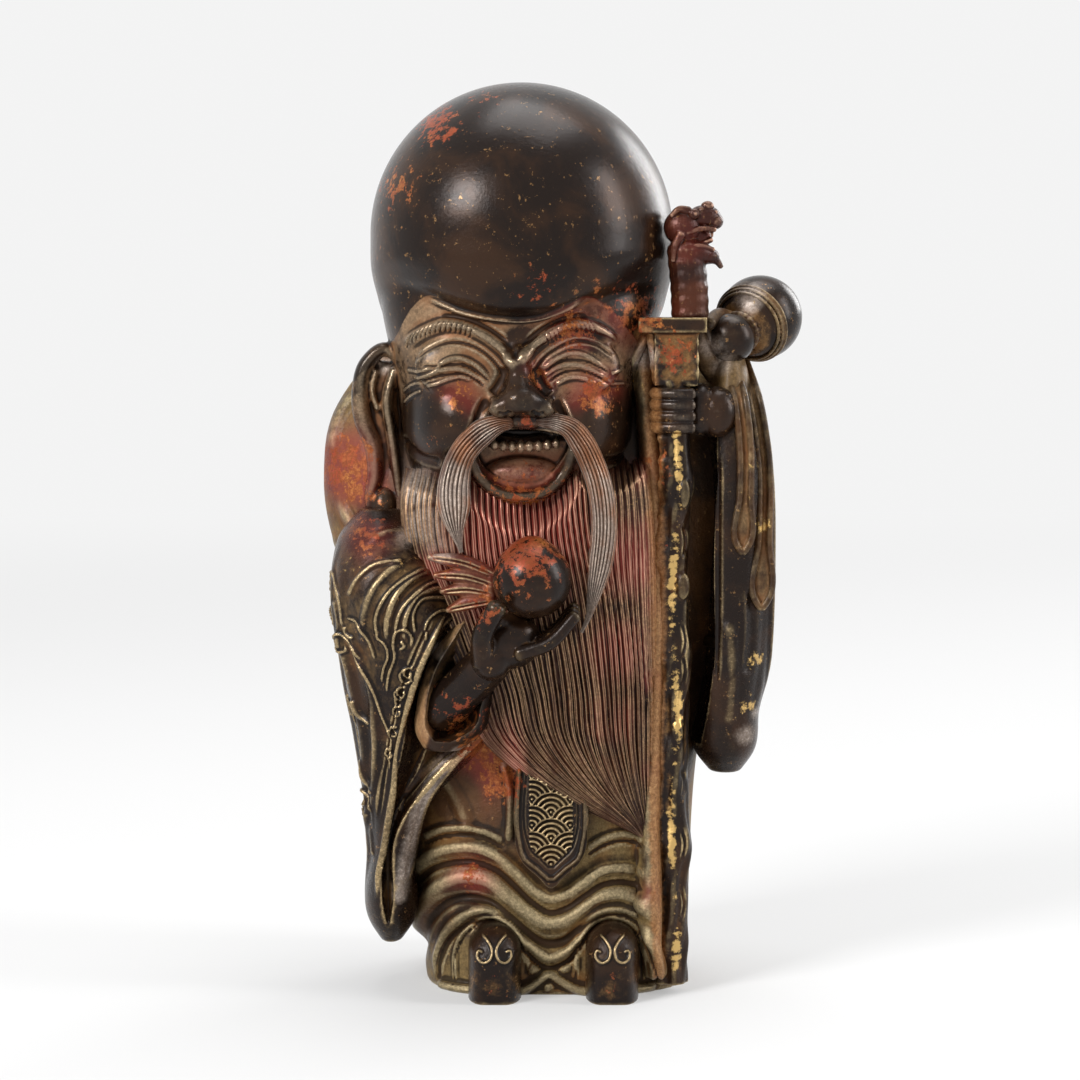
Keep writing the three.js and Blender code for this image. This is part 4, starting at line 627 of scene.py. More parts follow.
EAR_RIM = [(-21.2, 83.6, 0), (-23.2, 84.9, 0), (-25.6, 83, 0), (-26.5, 79.4, 0), (-26.2, 75.6, 0),
           (-24.9, 72.2, 0), (-24.6, 68.6, 0), (-25.1, 65, 0), (-24.4, 62.2, 0)]
EAR_BOWL = [(-22.4, 82, 1.4), (-23.8, 79, 1.6), (-23.4, 75, 1.5), (-22.8, 70, 1.2), (-22.8, 65, 1)]
EAR_FOLD = [(-22, 82, 0), (-22.9, 78.6, -0.4), (-22.4, 74, -0.4), (-21.7, 69, -0.2), (-21.3, 65, 0)]
EAR_TIP = [(-24.4, 82, 0.4), (-24.9, 79.6, 0.2), (-24.2, 77, 0)]


def ear_line(points, side):
    """Points of the right ear as x, z, y, or their mirror image on the left."""
    return [(HEAD_X + side * (HEAD_X - x) if side > 0 else x, -3.2 + y, z) for x, z, y in points]


for side in (-1, 1):
    inside += [rod(ear_line(EAR_RIM, side), lambda t: (0.85 + 0.35 * math.sin(math.pi * t), 1.6), 60),
               rod(ear_line(EAR_BOWL, side), lambda t: (2.3 - 0.3 * t, 1.5), 30),
               ball(ear_line([(-23.3, 64.0, -0.6)], side)[0], 1.9, 2.0, 2.7),
               rod(ear_line(EAR_FOLD, side), lambda t: (0.75, 1.6), 40),
               rod(ear_line(EAR_TIP, side), lambda t: (0.4, 1.2), 20)]
neck = rod([(HEAD_X, 2, 51.4), (HEAD_X, 2, 60), (HEAD_X, 2, 68)], lambda t: 5.9)
head = fused([opened] + inside + [neck], 0.22, 3)
face_lines = [  # points, width, height
    ([(-20.4, 85.3), (-19.1, 86.4), (-17.2, 87.5), (-14.8, 88.3), (-12.5, 88.1), (-10.3, 87.2),
      (-8.5, 86), (-7.1, 84.7), (-6.2, 83.2), (-5.6, 81.8)], 2.3, 0.95),
    ([(-5.5, 82.4), (-4.9, 84), (-3.7, 85.5), (-1.8, 86.9), (0.3, 88), (2.4, 88.3), (4.3, 87.9),
      (5.9, 86.9), (7.2, 85.4)], 2.3, 0.95),
    ([(-16.3, 82.2), (-15.2, 83.4), (-13.6, 84), (-12, 83.7), (-10.6, 82.9),
      (-9.2, 81.4)], 0.9, 0.42),
    ([(-19.4, 81.4), (-17.6, 81.6), (-15.7, 82.4), (-13.8, 82.7), (-12, 82.3),
      (-10.4, 81.1)], 0.8, 0.40),
    ([(-17.4, 80.4), (-15.8, 80.8), (-14.4, 81.4), (-12.8, 81.7), (-11.2, 81.3)], 0.8, 0.36),
    ([(-2.4, 82.5), (-1, 83.7), (0.6, 84.5), (2.4, 84.6), (4, 83.9), (5.4, 82.8)], 0.9, 0.42),
    ([(-2.5, 81.5), (-0.8, 82.7), (1.4, 83.2), (3.5, 82.7), (5.8, 81.4)], 0.8, 0.40),
    ([(-0.8, 80.6), (1.0, 81.5), (2.7, 81.5), (4.6, 80.7)], 0.8, 0.36),
    ([(-20.2, 82.3), (-18.2, 82.3), (-16.6, 82.8)], 0.6, 0.3),
    ([(-20.6, 79.4), (-19.5, 80.3), (-18, 80.9)], 0.6, 0.35),
    ([(-20.5, 77.9), (-19.4, 79), (-17.9, 79.8)], 0.6, 0.35),
    ([(6.4, 82), (8, 82.6)], 0.6, 0.3),
    ([(6.4, 80.6), (8.2, 80.6)], 0.6, 0.3),
    ([(-17.4, 91.7), (-15, 90.8), (-12.9, 89.9), (-10.2, 89.3), (-7.6, 89), (-5, 88.9),
      (-2.9, 89.2), (-0.8, 89.9), (1.1, 90.7), (3.2, 91.7)], 0.85, 0.55),
    ([(-15.6, 89.6), (-12, 88.9), (-9, 87.6), (-6.8, 86)], 1.2, -0.4),
    ([(-4.6, 85.8), (-2.6, 87.6), (0.4, 89), (3.6, 89.6)], 1.2, -0.4),
    ([(-9.2, 79.2), (-10.2, 77.6), (-10.8, 75.8), (-12.4, 73), (-15, 71)], 1.9, -0.6),
    ([(-0.9, 79.2), (-0.1, 77.6), (0.6, 75.8), (2.4, 72.6), (5, 70.6)], 1.9, -0.6),
    ([(-21, 73.4), (-18.6, 71.2), (-15.4, 70.4)], 1.9, -0.45),
    ([(5, 70.4), (8.4, 71), (10.6, 73.6)], 1.9, -0.45),
    ([(-19.4, 83.4), (-17, 85.2), (-14, 86.1), (-11, 85.4), (-8.6, 83.6), (-7.2, 81.4)], 0.8, -0.4),
    ([(-3.6, 81.8), (-2.6, 83.6), (-0.6, 85.2), (2, 86.2), (4.6, 85.8), (6.8, 84.2)], 0.8, -0.4),
    ([(-19, 80.7), (-16.6, 81.5), (-14, 82.0), (-11.4, 81.6), (-9.6, 80.2)], 0.6, -0.4),
    ([(-1.8, 80.9), (0.4, 82.2), (2.6, 82.4), (4.6, 81.8), (6.4, 80.6)], 0.6, -0.4),
    ([(-18, 83.0), (-15.4, 83.0), (-12.6, 83.2), (-10.4, 82.1), (-9, 80.8)], 0.5, -0.3),
    ([(-2.2, 82.1), (0, 83.6), (2.4, 83.8), (4.8, 83), (6.4, 82)], 0.5, -0.3),
    ([(-7.2, 83), (-7.9, 81), (-9, 79.4)], 1.9, -0.5),
    ([(-3.3, 83), (-2.5, 81), (-1.3, 79.4)], 1.9, -0.5),
    ([(-8.0, 77.1), (-7.0, 76.9), (-6.4, 77.4)], 0.8, -0.7),
    ([(-3.7, 77.4), (-3, 76.9), (-2.1, 77.1)], 0.8, -0.7)]
head.engrave(face_lines, ends=0.12)
for brow, lean, deep, stop in ((face_lines[0][0], 0.7, -0.34, 17), (face_lines[1][0], -0.7, -0.2, 22)):
    for x, z in bend(brow, 30)[2 if lean > 0 else 10:stop]:
        head.stroke([(x - lean, z - 1.1), (x + lean * 0.3, z + 0.7)], 0.36, deep, ends=0.25)
head.h *= 1 - ease(head.p[:, 2], 91, 93)
head.carve()
bronze_head = patina("bronze_head", DARK, (0.23, 0.145, 0.08), SAND, dusted=0.52, gilded=0.75,
                     blush=0.6, gloss=0.2, pores=0.5)
# the dark polish follows the rim over the brow and comes down at the temples; the lids stay pale
RIM = through([[-28, 80], [-24.6, 83], [-21.6, 86.6], [-19.4, 90.2], [-17.4, 91.7], [-12.9, 90],
               [-7.6, 89.1], [-5, 89], [-2.9, 89.3], [1.1, 90.8], [3.2, 91.7], [6.4, 90], [9.4, 86.6],
               [13, 83], [18, 80]])
x, y, z = head.p.T
over_rim = 1.35 * ease(z - RIM(np.clip(x, -28, 18))[..., 0], -0.1, 0.7) * ease(-y, -2, 4)
behind = 1.35 * ease(z, 78, 82) * ease(y, -2, 2)
on_lip = patch(head.p, [(lip_x, lip_z, 0.9, 1.3) for lip_x, lip_z in bend(LOWER_LIP, 16)])
# painted shade: the upper inside of the open mouth, behind the teeth, is darkened
painted_shade_in_mouth = 1.3 * (y > mouth_y + 0.6) * ease(z, 73, 73.6) * (abs(x - MOUTH_X) < 6.6) * (z < 76)
pale_lids = patch(head.p, [
    (-13.4, 83, 3.6, 0.55), (-10.2, 80.4, 2.6, 0.5), (2.6, 82.4, 3.4, 0.4), (-16.8, 88.4, 3.2, 0.5),
    (-11, 88.6, 3, 0.4), (-8.4, 86.8, 2.4, 0.3), (MOUTH_X, 72.6, 3.6, 0.5), (-13.2, 69.6, 2, 0.3),
    (-24, 78, 3, 0.5), (-24, 72, 2.4, 0.4)])
polished_and_painted_shade = np.maximum.reduce([over_rim, behind, on_lip, painted_shade_in_mouth])
cast("head", head, bronze_head, polish_and_painted_shade=polished_and_painted_shade, dull=pale_lids)

# Beard. Chased from one wide cast panel: long strands run from the cheeks and the chin to a
# point beside the staff, gathered in locks. Worn red lacquer lies on the crests, and the
# grooves are dark. Two dowels hold the panel on the robe.
STRANDS, LOCKS, BEARD_TIP, BEARD_TOP = 41, 16, 21.2, 73
BEARD_EDGE = through([[21.2, 10.3, 11.2, -9.6], [23.2, 6.3, 11.7, -9.4], [26.4, -0.1, 12, -9],
                      [30.6, -6.7, 12.3, -8.6], [33.8, -10.3, 12.5, -8.2],
                      [41.2, -13.3, 12.7, -7.6], [51.2, -17.3, 12.8, -7],
                      [59.2, -20.5, 12.6, -6.4], [67.2, -21.1, 12, -6], [73, -20.5, 11.1, -5.6]])
BEARD_OUT = through([[21.2, 11.4], [30.2, 13.4], [41.2, 15], [53.2, 16.8], [65.2, 18], [73, 16.6]])


def beard_front(across, z):
    side = BEARD_EDGE(z)[..., 2]
    crown =(1 - np.abs(across) ** 2.4) ** (1 / 2.4)
    lock = np.abs(np.sin((across + 1) / 2 * LOCKS * np.pi)) ** 0.8
    thick = 0.2 + (0.35 - 0.27 * ease(z, 48, 58)) * lock
    return side - (side - HEAD_Y + BEARD_OUT(z)[..., 0]) * crown - thick * crown


def beard_y(x, z):
    left, right, _ = BEARD_EDGE(np.float64(z))
    across = np.clip((np.float64(x) - (left + right) / 2) / ((right - left) / 2), -1, 1)
    return float(beard_front(across, np.float64(z)))


WIDE, TALL = 340, 330  # points across the front and up it
across, z = np.meshgrid(np.linspace(-1, 1, WIDE), np.linspace(BEARD_TIP, BEARD_TOP, TALL))
left, right, side = np.moveaxis(BEARD_EDGE(z), -1, 0)
x = (left + right) / 2 + across * (right - left) / 2
y = beard_front(across, z)
drop = 3.6 * ease(MOUTH_X - x, 4, 14) * ease(z, 60, BEARD_TOP)
front = np.stack([x, y, z - drop], axis=-1)
back = front[:, ::-12].copy()
back[..., 1] = side[:, :1] + 3
rings = np.concatenate([front, back], axis=1)
ring_size = rings.shape[1]


def on_front(values):
    """Values on the front of the panel, with zeros for its back, one for each point."""
    return np.pad(values, ((0, 0), (0, ring_size - WIDE))).ravel()


beard = Clay(rings.reshape(-1, 3), faces_between(TALL, ring_size), 0.16)
u = (across + 1) / 2
flow = u * STRANDS + 0.30 * np.sin(z / 8 + 8 * u) + 0.12 * np.sin(z / 3.7 + 21 * u)
own_height = rng.uniform(-0.14, 0.14, 64)[np.floor(flow).astype(int) % 64]
strand = own_height + 0.66 * np.abs(np.sin(np.pi * flow)) ** 0.7
fine_hair = 0.10 * np.sin(2 * np.pi * flow * 3 + z / 5)
fade = ease(np.minimum(u, 1 - u), 0, 0.02) * np.clip((right - left) / 16, 0.25, 1)
# the hair springs from the skin under the cheeks and leaves the laughing mouth free
HAIRLINE = through([[-21.4, 71.6], [-18, 70.6], [-14.6, 70.2], [-12.2, 71.6], [-10.6, 69.2], [-8, 67.1],
                    [-5.1, 66.5], [-2.2, 67.1], [0.4, 69.2], [2.2, 71.6], [5, 70.2], [8.4, 71.2],
                    [12, 74]])
hairline = HAIRLINE(x)[..., 0]
skin_y = front_of(FACE, HEAD_Y, x, np.maximum(z, 60.2)) + 1.4
under_lip = ease(x, -13.4, -11) * ease(-x, -3.2, -0.8)
dive = ease(z - drop, hairline - 4.2 + 4.0 * under_lip, hairline + 0.6)
chin_slope = under_lip * ease(z, hairline - 5, hairline - 0.6)
for slope, target in ((chin_slope, skin_y - 1.9), (dive, skin_y + 4.5 * under_lip)):
    beard.p[:, 1] += on_front(slope) * np.maximum(0, on_front(target) - beard.p[:, 1])
# soften the step from the chin to the hanging hair before the strands are cut
near_lip = under_lip * ease(z, 56, 60)
beard.p += (beard.blurred(beard.p, 60) - beard.p) * on_front(near_lip)[:, None]
beard.n = beard.normals()
# the chin panel lies a little lower between the two halves of the moustache
chin = ease(x, -12.6, -11.6) * ease(-x, -4.6, -3.6) * ease(z, 56, 62)
beard.h = on_front((strand - 0.35 + fine_hair) * fade * (1 - dive) - 0.7 * chin)
beard.carve()
red_beard = patina("red_beard", (0.026, 0.010, 0.007), (0.10, 0.047, 0.022), (0.38, 0.235, 0.13),
                   dusted=0.45, gilded=1.0, flaking=0.0, blush=1.0, gloss=0.34)
locks = np.interp(beard.p[:, 0], np.linspace(-21, 13, 35), rng.uniform(-0.25, 0.35, 35))
handled = (0.42 + locks) * ease(-beard.p[:, 2], -56, -40)
cast("beard", beard, red_beard, fine=0.10, polish_and_painted_shade=handled)

# Moustache. Two ropes of strands, cast apart, spring from under the nose, arch past the laughing
# mouth and hang over the beard. Pale dust has set in the hair. Each is let into the beard.
pale_moustache = patina("pale_moustache", (0.10, 0.05, 0.034), (0.30, 0.24, 0.20), (0.56, 0.46, 0.38),
                        dusted=0.7, gilded=1.0, flaking=0.0, blush=0.08, gloss=0.34)
LONG, ROUND = 180, 72  # points along a rope and across its front
RIGHT_ROPE = [(-6.1, 75.9), (-7.7, 75.7), (-9.4, 75), (-11, 73.8), (-12.3, 72.3), (-13.2, 70.4),
              (-13.7, 68), (-13.7, 65), (-13.4, 62), (-12.8, 59.2)]
LEFT_ROPE = [(-3.2, 76.1), (-0.6, 75.9), (1.2, 75.1), (2.7, 73.2), (3.8, 71), (4.7, 68.6), (5.3, 65.6),
             (5.5, 62), (5.1, 58.2), (4.4, 54.6), (3.2, 50), (2.6, 48.8)]
for name, side, line in (("moustache_right", -1, RIGHT_ROPE), ("moustache_left", 1, LEFT_ROPE)):
    points = []
    for px, pz in line:
        surface = min(face_y(px, pz) - 0.4, beard_y(px, pz) - 0.4 if pz < BEARD_TOP else 9)
        if abs(px - MOUTH_X) < 8 and pz > 66:
            surface = min(surface, mouth_y - 1.6)
        points.append((px, surface, pz))
    path = bend(points, LONG)
    along = np.gradient(path[:, [0, 2]], axis=0)
    along /= np.linalg.norm(along, axis=1)[:, None]
    t, s = np.linspace(0, 1, LONG)[:, None], np.linspace(-1, 1, ROUND)
    taper = (0.5 + 0.5 * ease(t, 0, 0.22)) * (1 - 0.88 * ease(t, 0.68, 1.01)) * ease(t, -0.03, 0.03)
    half = (1.75 + (0.45 * ease(t, 0.35, 0.7) if side < 0 else -0.1)) * taper
    strand = 4 * (s + 1) + 0.2 * np.sin(7 * t + 2 * s)
    hair = (0.40 + 0.10 * np.cos(2.1 * strand)) * np.abs(np.sin(np.pi * strand)) ** 0.7 * (1 - s ** 6)
    rise = (0.55 * (1 - s ** 4) + hair) * np.minimum(1, 1.4 * taper)
    out = path[:, 1:2] - 0.1 - rise + 0.12 * (half * s) ** 2
    front = np.stack([path[:, :1] + along[:, 1:] * half * s, out, path[:, 2:] - along[:, :1] * half * s],
                     axis=-1)
    back = front[:, ::-8].copy()
    back[..., 1] = path[:, 1:2] + 1.2
    rings = np.concatenate([front, back], axis=1)
    rope = Clay(rings.reshape(-1, 3), faces_between(LONG, rings.shape[1]), 0.1)
    cast(name, rope, pale_moustache, fine=0.06)

# Right sleeve. A long bag of cloth that hangs from the raised forearm, open towards the
# middle. It is a hollow casting on two dowels; the outside is engraved with clouds and
# tendrils, and its lip is a thin bright line.
RIGHT = [[6.4, -24, -21.2, 3, 8, 2], [8.4, -25.3, -19.8, 4.8, 9, 2],
         [19.4, -25.4, -19.3, 6.4, 10, 2], [25, -25.8, -17, 7.2, 10.5, 2],
         [29, -26.4, -13.2, 8, 11, 2], [33, -27, -9.2, 8.8, 11, 2], [38, -27.8, -7.6, 10, 11, 2],
         [44, -28.9, -8.4, 11.2, 11, 2], [50, -29.9, -11, 12.2, 11, 2.1],
         [54, -30.2, -13.2, 12, 11, 2.1], [58, -30, -15, 10, 11, 2], [61, -29, -17.4, 7.6, 10, 2],
         [64, -26.4, -21.4, 3.6, 8, 2]]
RIGHT_MOUTH = [[9, -23.3, -22.2, 9, 10, 2], [12.4, -24.1, -21.5, 10, 10.5, 2],
               [22, -23.6, -20.9, 12, 10.5, 2], [31, -22, -13.5, 12, 11.5, 2],
               [34, -21.3, -10.1, 12, 12, 2], [42, -19.4, -8.9, 12, 12, 2],
               [47, -17.2, -4, 12, 11.5, 2], [51.6, -14.2, -2, 12, 10.5, 2],
               [55, -10.8, -2, 12, 10.5, 2]]
sleeve_bag = column(RIGHT, -4.5, np.linspace(6.4, 64, 90))
sleeve_hollow = column(RIGHT_MOUTH, -19.5, np.linspace(9, 55, 60), 80)
sleeve = fused([cut(sleeve_bag, sleeve_hollow)], 0.2, 5)
engraving = [  # points, width, height
    ([(-27.6, 53), (-26.2, 55.6), (-24.4, 57.2), (-20.2, 58)], 1.1, 0.35),
    ([(-23.4, 47.4), (-23.8, 50.6), (-22.3, 53.8), (-20.1, 55.7), (-17.4, 57)], 0.8, 0.4),
    ([(-21.5, 46.9), (-20.7, 51.4), (-18.7, 53.9), (-16.3, 55), (-14.1, 54.3)], 0.8, 0.4),
    ([(-18.8, 48.6), (-18.9, 51.6), (-17.9, 53), (-15.9, 53.1), (-14, 52.6)], 0.7, 0.4),
    ([(-17.4, 47.6), (-17.2, 50.2), (-15.8, 51.4), (-14, 51.2)], 0.6, 0.35),
    ([(-27.8, 50.4), (-26.4, 50.1), (-25.4, 48.8), (-24.5, 47), (-24, 45)], 0.55, 0.45),
    ([(-23.9, 48.4), (-22.6, 47.2), (-22.3, 45.5), (-22.8, 44.2), (-23.2, 42)], 0.55, 0.45),
    ([(-19.4, 46.8), (-19.2, 48.2), (-20.1, 49.3), (-21.2, 48.9), (-21.6, 47.5), (-21.4, 45.8),
      (-22.2, 43.2), (-22.6, 40.6)], 0.55, 0.5),
    ([(-20.6, 47.8), (-20.2, 47), (-20.8, 46.6)], 0.55, 0.4),
    ([(-27.4, 46), (-25.6, 43.7), (-24.2, 40.8), (-23.3, 37.8), (-22.2, 34.6),
      (-22.4, 30)], 0.5, 0.45),
    ([(-26.8, 39.4), (-26, 37.2), (-24.9, 36)], 0.8, 0.45),
    ([(-27.8, 49.3), (-27.6, 48.3), (-26.8, 47.7)], 0.5, 0.4),
    ([(-20.1, 44.2), (-20.8, 43.1), (-20.1, 42.1), (-19.3, 42.6), (-19.8, 43.5)], 0.5, 0.45),
    ([(-20.9, 41.6), (-21.5, 40.5), (-20.9, 39.8), (-20.3, 40.4)], 0.5, 0.4),
    ([(-21.5, 40.3), (-21.3, 38.6), (-21.9, 35.4)], 0.45, 0.4),
    ([(-26.2, 31.4), (-25.6, 28.8), (-24.6, 26.6)], 0.8, 0.4),
    ([(-29.6, 56.4), (-28.4, 52.6), (-28, 49)], 0.6, 0.35),
    ([(-29.2, 52.6), (-28.6, 49.6), (-28.2, 46)], 0.6, 0.35),
    ([(-25.4, 24), (-25, 20.6), (-24.8, 18)], 0.7, 0.3),
    ([(-14.7, 51.6), (-16.5, 48), (-18.4, 43.8), (-19.7, 39.9), (-20.6, 36.3), (-21.4, 32.7),
      (-22, 27.5), (-22.7, 23.5), (-23.4, 19.3), (-24, 16), (-24.3, 12.4)], 0.9, 0.55),
    ([(-16.2, 51.6), (-17.9, 48), (-19.7, 43.8), (-21, 39.9), (-21.9, 36), (-22.9, 31),
      (-24, 23)], 0.6, -0.35),
    ([(-9.1, 37), (-10.3, 34.4), (-13, 32.1), (-15.6, 29.1), (-17.6, 26.4), (-18.9, 23),
      (-19.8, 18.7), (-20.4, 14)], 1.0, 0.5)]
sleeve.engrave(engraving, ends=0.1, facing=0.6)
# soft flutes between the engraved arcs, and small curls along the border
sleeve.engrave([
    ([(-25.6, 46), (-25.4, 50.6), (-24, 54.6), (-21.6, 57), (-18.6, 58.2)], 1.9, 0.45),
    ([(-22.4, 46.6), (-22.2, 51), (-20.6, 54.4), (-18, 56.2), (-15.4, 56.4)], 1.7, 0.5),
    ([(-20.2, 47), (-19.8, 51.2), (-18.3, 53.6), (-16, 54.2), (-13.6, 53.6)], 1.5, 0.5),
    ([(-29, 60), (-28.6, 52), (-28, 44), (-26.6, 34)], 2.6, 0.4),
    ([(-24.8, 40), (-24.2, 34), (-24, 28), (-24.4, 22)], 1.8, 0.4),
    ([(-13, 58.6), (-17, 60.4), (-22, 61.4), (-26, 60)], 1.6, 0.4)], ends=0.25, facing=0.6)
sleeve.stroke(SLEEVE_LIP, 2.4, 0.35, ends=0.1)
for x, z in ((-19.6, 43.2), (-20.5, 40.6), (-21.1, 38), (-21.6, 35.2), (-22.2, 32.2)):
    curl = [(0.5, 1.0), (-0.45, 0.8), (-0.6, 0), (0, -0.35), (0.3, 0.15), (-0.1, 0.35)]
    sleeve.stroke([(x + a, z + b) for a, b in curl], 0.42, 0.45, ends=0.1, facing=0.45)
# the outside: long falls of the cloth, with clouds chased between them
sleeve.engrave([
    ([(-8, 61), (-9.8, 48), (-9, 34), (-6.5, 22), (-4, 11)], 2.6, 0.6),
    ([(-2, 62), (-3, 48), (-3.6, 34), (-2.4, 20), (-1, 9)], 2.8, 0.65),
    ([(3.4, 58), (2.6, 44), (1.4, 30), (1, 14)], 2.4, 0.55),
    ([(-5.4, 58), (-6.4, 44), (-6.2, 30), (-4.4, 17)], 1.5, -0.5),
    ([(0.5, 60), (-0.2, 44), (-1, 28), (0, 13)], 1.5, -0.5),
    ([(-12.4, 52), (-12.6, 42), (-10.4, 30), (-8, 20)], 1.6, 0.4)], ends=0.2, facing=0.5, side=-1)
CLOUD = [(-2.4, -2.2), (-1.6, 0), (0, 1.2), (1.3, 0.2), (0.9, -1.1), (-0.3, -1.0), (-0.3, -0.1)]
for y, z, size in ((-10.6, 47, 1.0), (-6.2, 38, 1.1), (-1.2, 50, 1.2), (2.0, 38, 1.0), (-7.2, 26, 0.9),
                   (-0.8, 24, 1.0), (-4.6, 54.5, 0.9)):
    cloud = [(y + a * size, z + b * size) for a, b in CLOUD]
    sleeve.stroke(cloud, 0.55, 0.45, ends=0.1, facing=0.5, side=-1)
sleeve.carve()
bronze_sleeve = patina("bronze_sleeve", DARK, (0.15, 0.09, 0.036), GILT, dusted=0.42, gilded=1.0,
                       blush=0.35, gloss=0.26)
cast("right_sleeve", sleeve, bronze_sleeve)

# Right cuff. The mouth of the under-sleeve shows as an oval gilt band round the wrist, cast
# as a ring and set into the bag of the sleeve.
CUFF = [[33, -17.8, -13, 2.4, 2.4, 2], [35, -18.9, -10.4, 3.6, 3.4, 2], [39, -18.8, -9, 4, 3.4, 2],
        [44, -17.4, -8.2, 4, 3.4, 2], [48, -15, -8, 3.6, 3.4, 2], [51, -12.2, -8.6, 2.6, 2.4, 2]]
CUFF_INSIDE = [[34.5, -16.4, -14.2, 2.4, 3.6, 2], [36, -17.4, -11.6, 3.6, 4.6, 2],
               [39, -17.4, -10.4, 4, 4.6, 2], [44, -16, -9.6, 4, 4.6, 2],
               [48, -13.6, -9.4, 3.6, 4.6, 2], [51.6, -11.4, -9.4, 2.6, 3.6, 2]]
cuff_band = column(CUFF, -12.1, np.linspace(33, 51, 50))
cuff_hollow = column(CUFF_INSIDE, -15.4, np.linspace(34.5, 51.6, 40), 80)
cuff = fused([cut(cuff_band, cuff_hollow)], 0.14, 4)
cuff.p = cuff.blurred(cuff.p, 14)
gilt_cuff = patina("gilt_cuff", DARK, (0.32, 0.19, 0.09), (0.5, 0.36, 0.18), dusted=0.8,
                   gilded=0.8, blush=0.35)
# painted shade: the inner part of the band, towards the middle of the figure, is darkened
painted_shade_side = 1.3 * ease(cuff.p[:, 0] - 0.35 * (cuff.p[:, 2] - 42), -15.2, -13.4)
cast("right_cuff", cuff, gilt_cuff, polish_and_painted_shade=painted_shade_side)

# Right hand. The forearm comes out of the cuff; thumb and fingers carry the peach. Hand and
# forearm are one solid casting, handled until they are dark and smooth.
PEACH = np.array([-3.7, -18.2, 55.9])


def near_peach(*places):
    """Places counted from the middle of the peach."""
    return [tuple(PEACH + place) for place in places]


forearm = near_peach((-12.2, 7.2, -18), (-8.6, 4.6, -14.4), (-5, 1.8, -10.4))
thumb = near_peach((-6.2, -0.4, -10.6), (-6.2, -2.6, -6.8), (-4.4, -4.1, -3.2))
palm, heel = near_peach((-2.8, 1.2, -8), (-5.2, 0.2, -10.2))
hand_parts = [rod(forearm, lambda t: (3.2 - 0.4 * t, 3.1 - 0.4 * t)), ball(palm, 3.9, 3.2, 3.7),
              ball(heel, 2.6, 2.4, 2.8), rod(thumb, lambda t: 1.55 - 0.25 * t)]
for i in range(4):
    finger = near_peach((-1.6, -1.6 + 1.7 * i, -9.4 + 0.3 * i), (2.2, -1.9 + 1.7 * i, -8 + 0.3 * i),
                        (5.5, -1.4 + 1.5 * i, -4.6 + 0.4 * i))
    hand_parts.append(rod(finger, lambda t: 1.0 - 0.15 * t))
bronze_dark = patina("bronze_dark", DARK, OCHRE, GILT, dusted=0.22, flaking=0.9, gloss=0.2, pores=0.5)
cast("right_hand", fused(hand_parts, 0.14, 8), bronze_dark)

# Peach. Cast solid, with a soft point and a seam, and pressed into the hand. Red lacquer is
# left on its shoulder.
PEACH_R = 5.05
peach_rings = []
around = circle(90)
groove = 0.035 * np.exp(-((np.mod(around + 1.2, 2 * np.pi) - np.pi) / 0.22) ** 2)
for a in np.linspace(-1.5, 1.5, 50):
    seam = 1 - groove * math.cos(a)
    lift = 1 + 0.12 * max(0, math.sin(a)) ** 6
    flat = PEACH_R * math.cos(a)
    ring = [flat * np.cos(around) * seam, flat * np.sin(around) * seam,
            np.full(90, PEACH_R * math.sin(a) * lift)]
    peach_rings.append(np.column_stack(ring) + PEACH)
cast("peach", fused([skin(peach_rings)], 0.16, 4), bronze_dark)

# Peach leaves. A twig of narrow chased leaves lies on the beard beside the peach. It is one
# gilt casting with red lacquer left between the leaves.
leaves = []
for start, end, width in (((-4.4, 1.6, 0.4), (-13.2, 2.6, 2.6), 0.62),
                          ((-4.6, 1.6, -0.8), (-12.4, 2.6, 0.3), 0.6),
                          ((-4.8, 1.6, -2.0), (-11.6, 2.6, -1.8), 0.6),
                          ((-5, 1.4, -3.0), (-10.8, 2.4, -4.2), 0.6)):
    middle = tuple((np.array(start) + end) / 2 + (0, -0.3, 0.5))
    leaf_shape = near_peach(start, middle, end)
    leaves.append(rod(leaf_shape, lambda t: (0.4 + width * math.sin(math.pi * t), 0.8), 30))
leaves.append(ball(*near_peach((-5.4, 1.8, -1.4)), 1.1, 1.2, 1.9))
leaf = fused(leaves, 0.12, 4)
for line in ([(-16.9, 58.5), (-12.5, 57.9), (-8.4, 56.2)], [(-16, 56.2), (-12.2, 56.1), (-8.6, 55)],
             [(-15.2, 54.1), (-11.9, 54.4), (-8.8, 53.8)], [(-14.4, 51.8), (-11.7, 52.4), (-8.9, 52.9)]):
    leaf.stroke(line, 0.5, -0.35)
leaf.carve()
gilt_leaves = patina("gilt_leaves", (0.06, 0.018, 0.010), (0.16, 0.065, 0.03), GILT, gilded=1.0,
                     blush=0.35)
cast("peach_leaves", leaf, gilt_leaves)

# Left sleeve. It falls straight from the raised left arm behind the staff, creased by the
# weight of the cloth, its narrow mouth turned to the front. A hollow casting on two dowels.
LEFT = [[28.8, 19.8, 24, 3, 5, 2], [31.1, 18, 25.6, 5.2, 8, 2.1], [36.8, 17.4, 26.4, 6.4, 9, 2.2],
        [56.7, 17.4, 27.8, 6.6, 11, 2.2], [68.7, 17.8, 27.4, 6.4, 11, 2.1],
        [76.1, 18.6, 26.4, 5.8, 11, 2], [81.8, 19.8, 24.8, 4.8, 10, 2], [85.8, 21, 23.6, 3, 8, 2]]
LEFT_MOUTH = [[32.8, 15.2, 18.6, 2.6, 3.4, 2], [38.8, 14.8, 20, 4.4, 4.6, 2],
              [58.7, 14.8, 20.4, 4.6, 5.4, 2], [74.7, 15.2, 20.8, 4.4, 5.2, 2]]
LEFT_Y = -2.5
left_bag = column(LEFT, LEFT_Y, np.linspace(28.8, 85.8, 90))
left_hollow = column(LEFT_MOUTH, -5.5, np.linspace(32.8, 74.7, 50), 70)
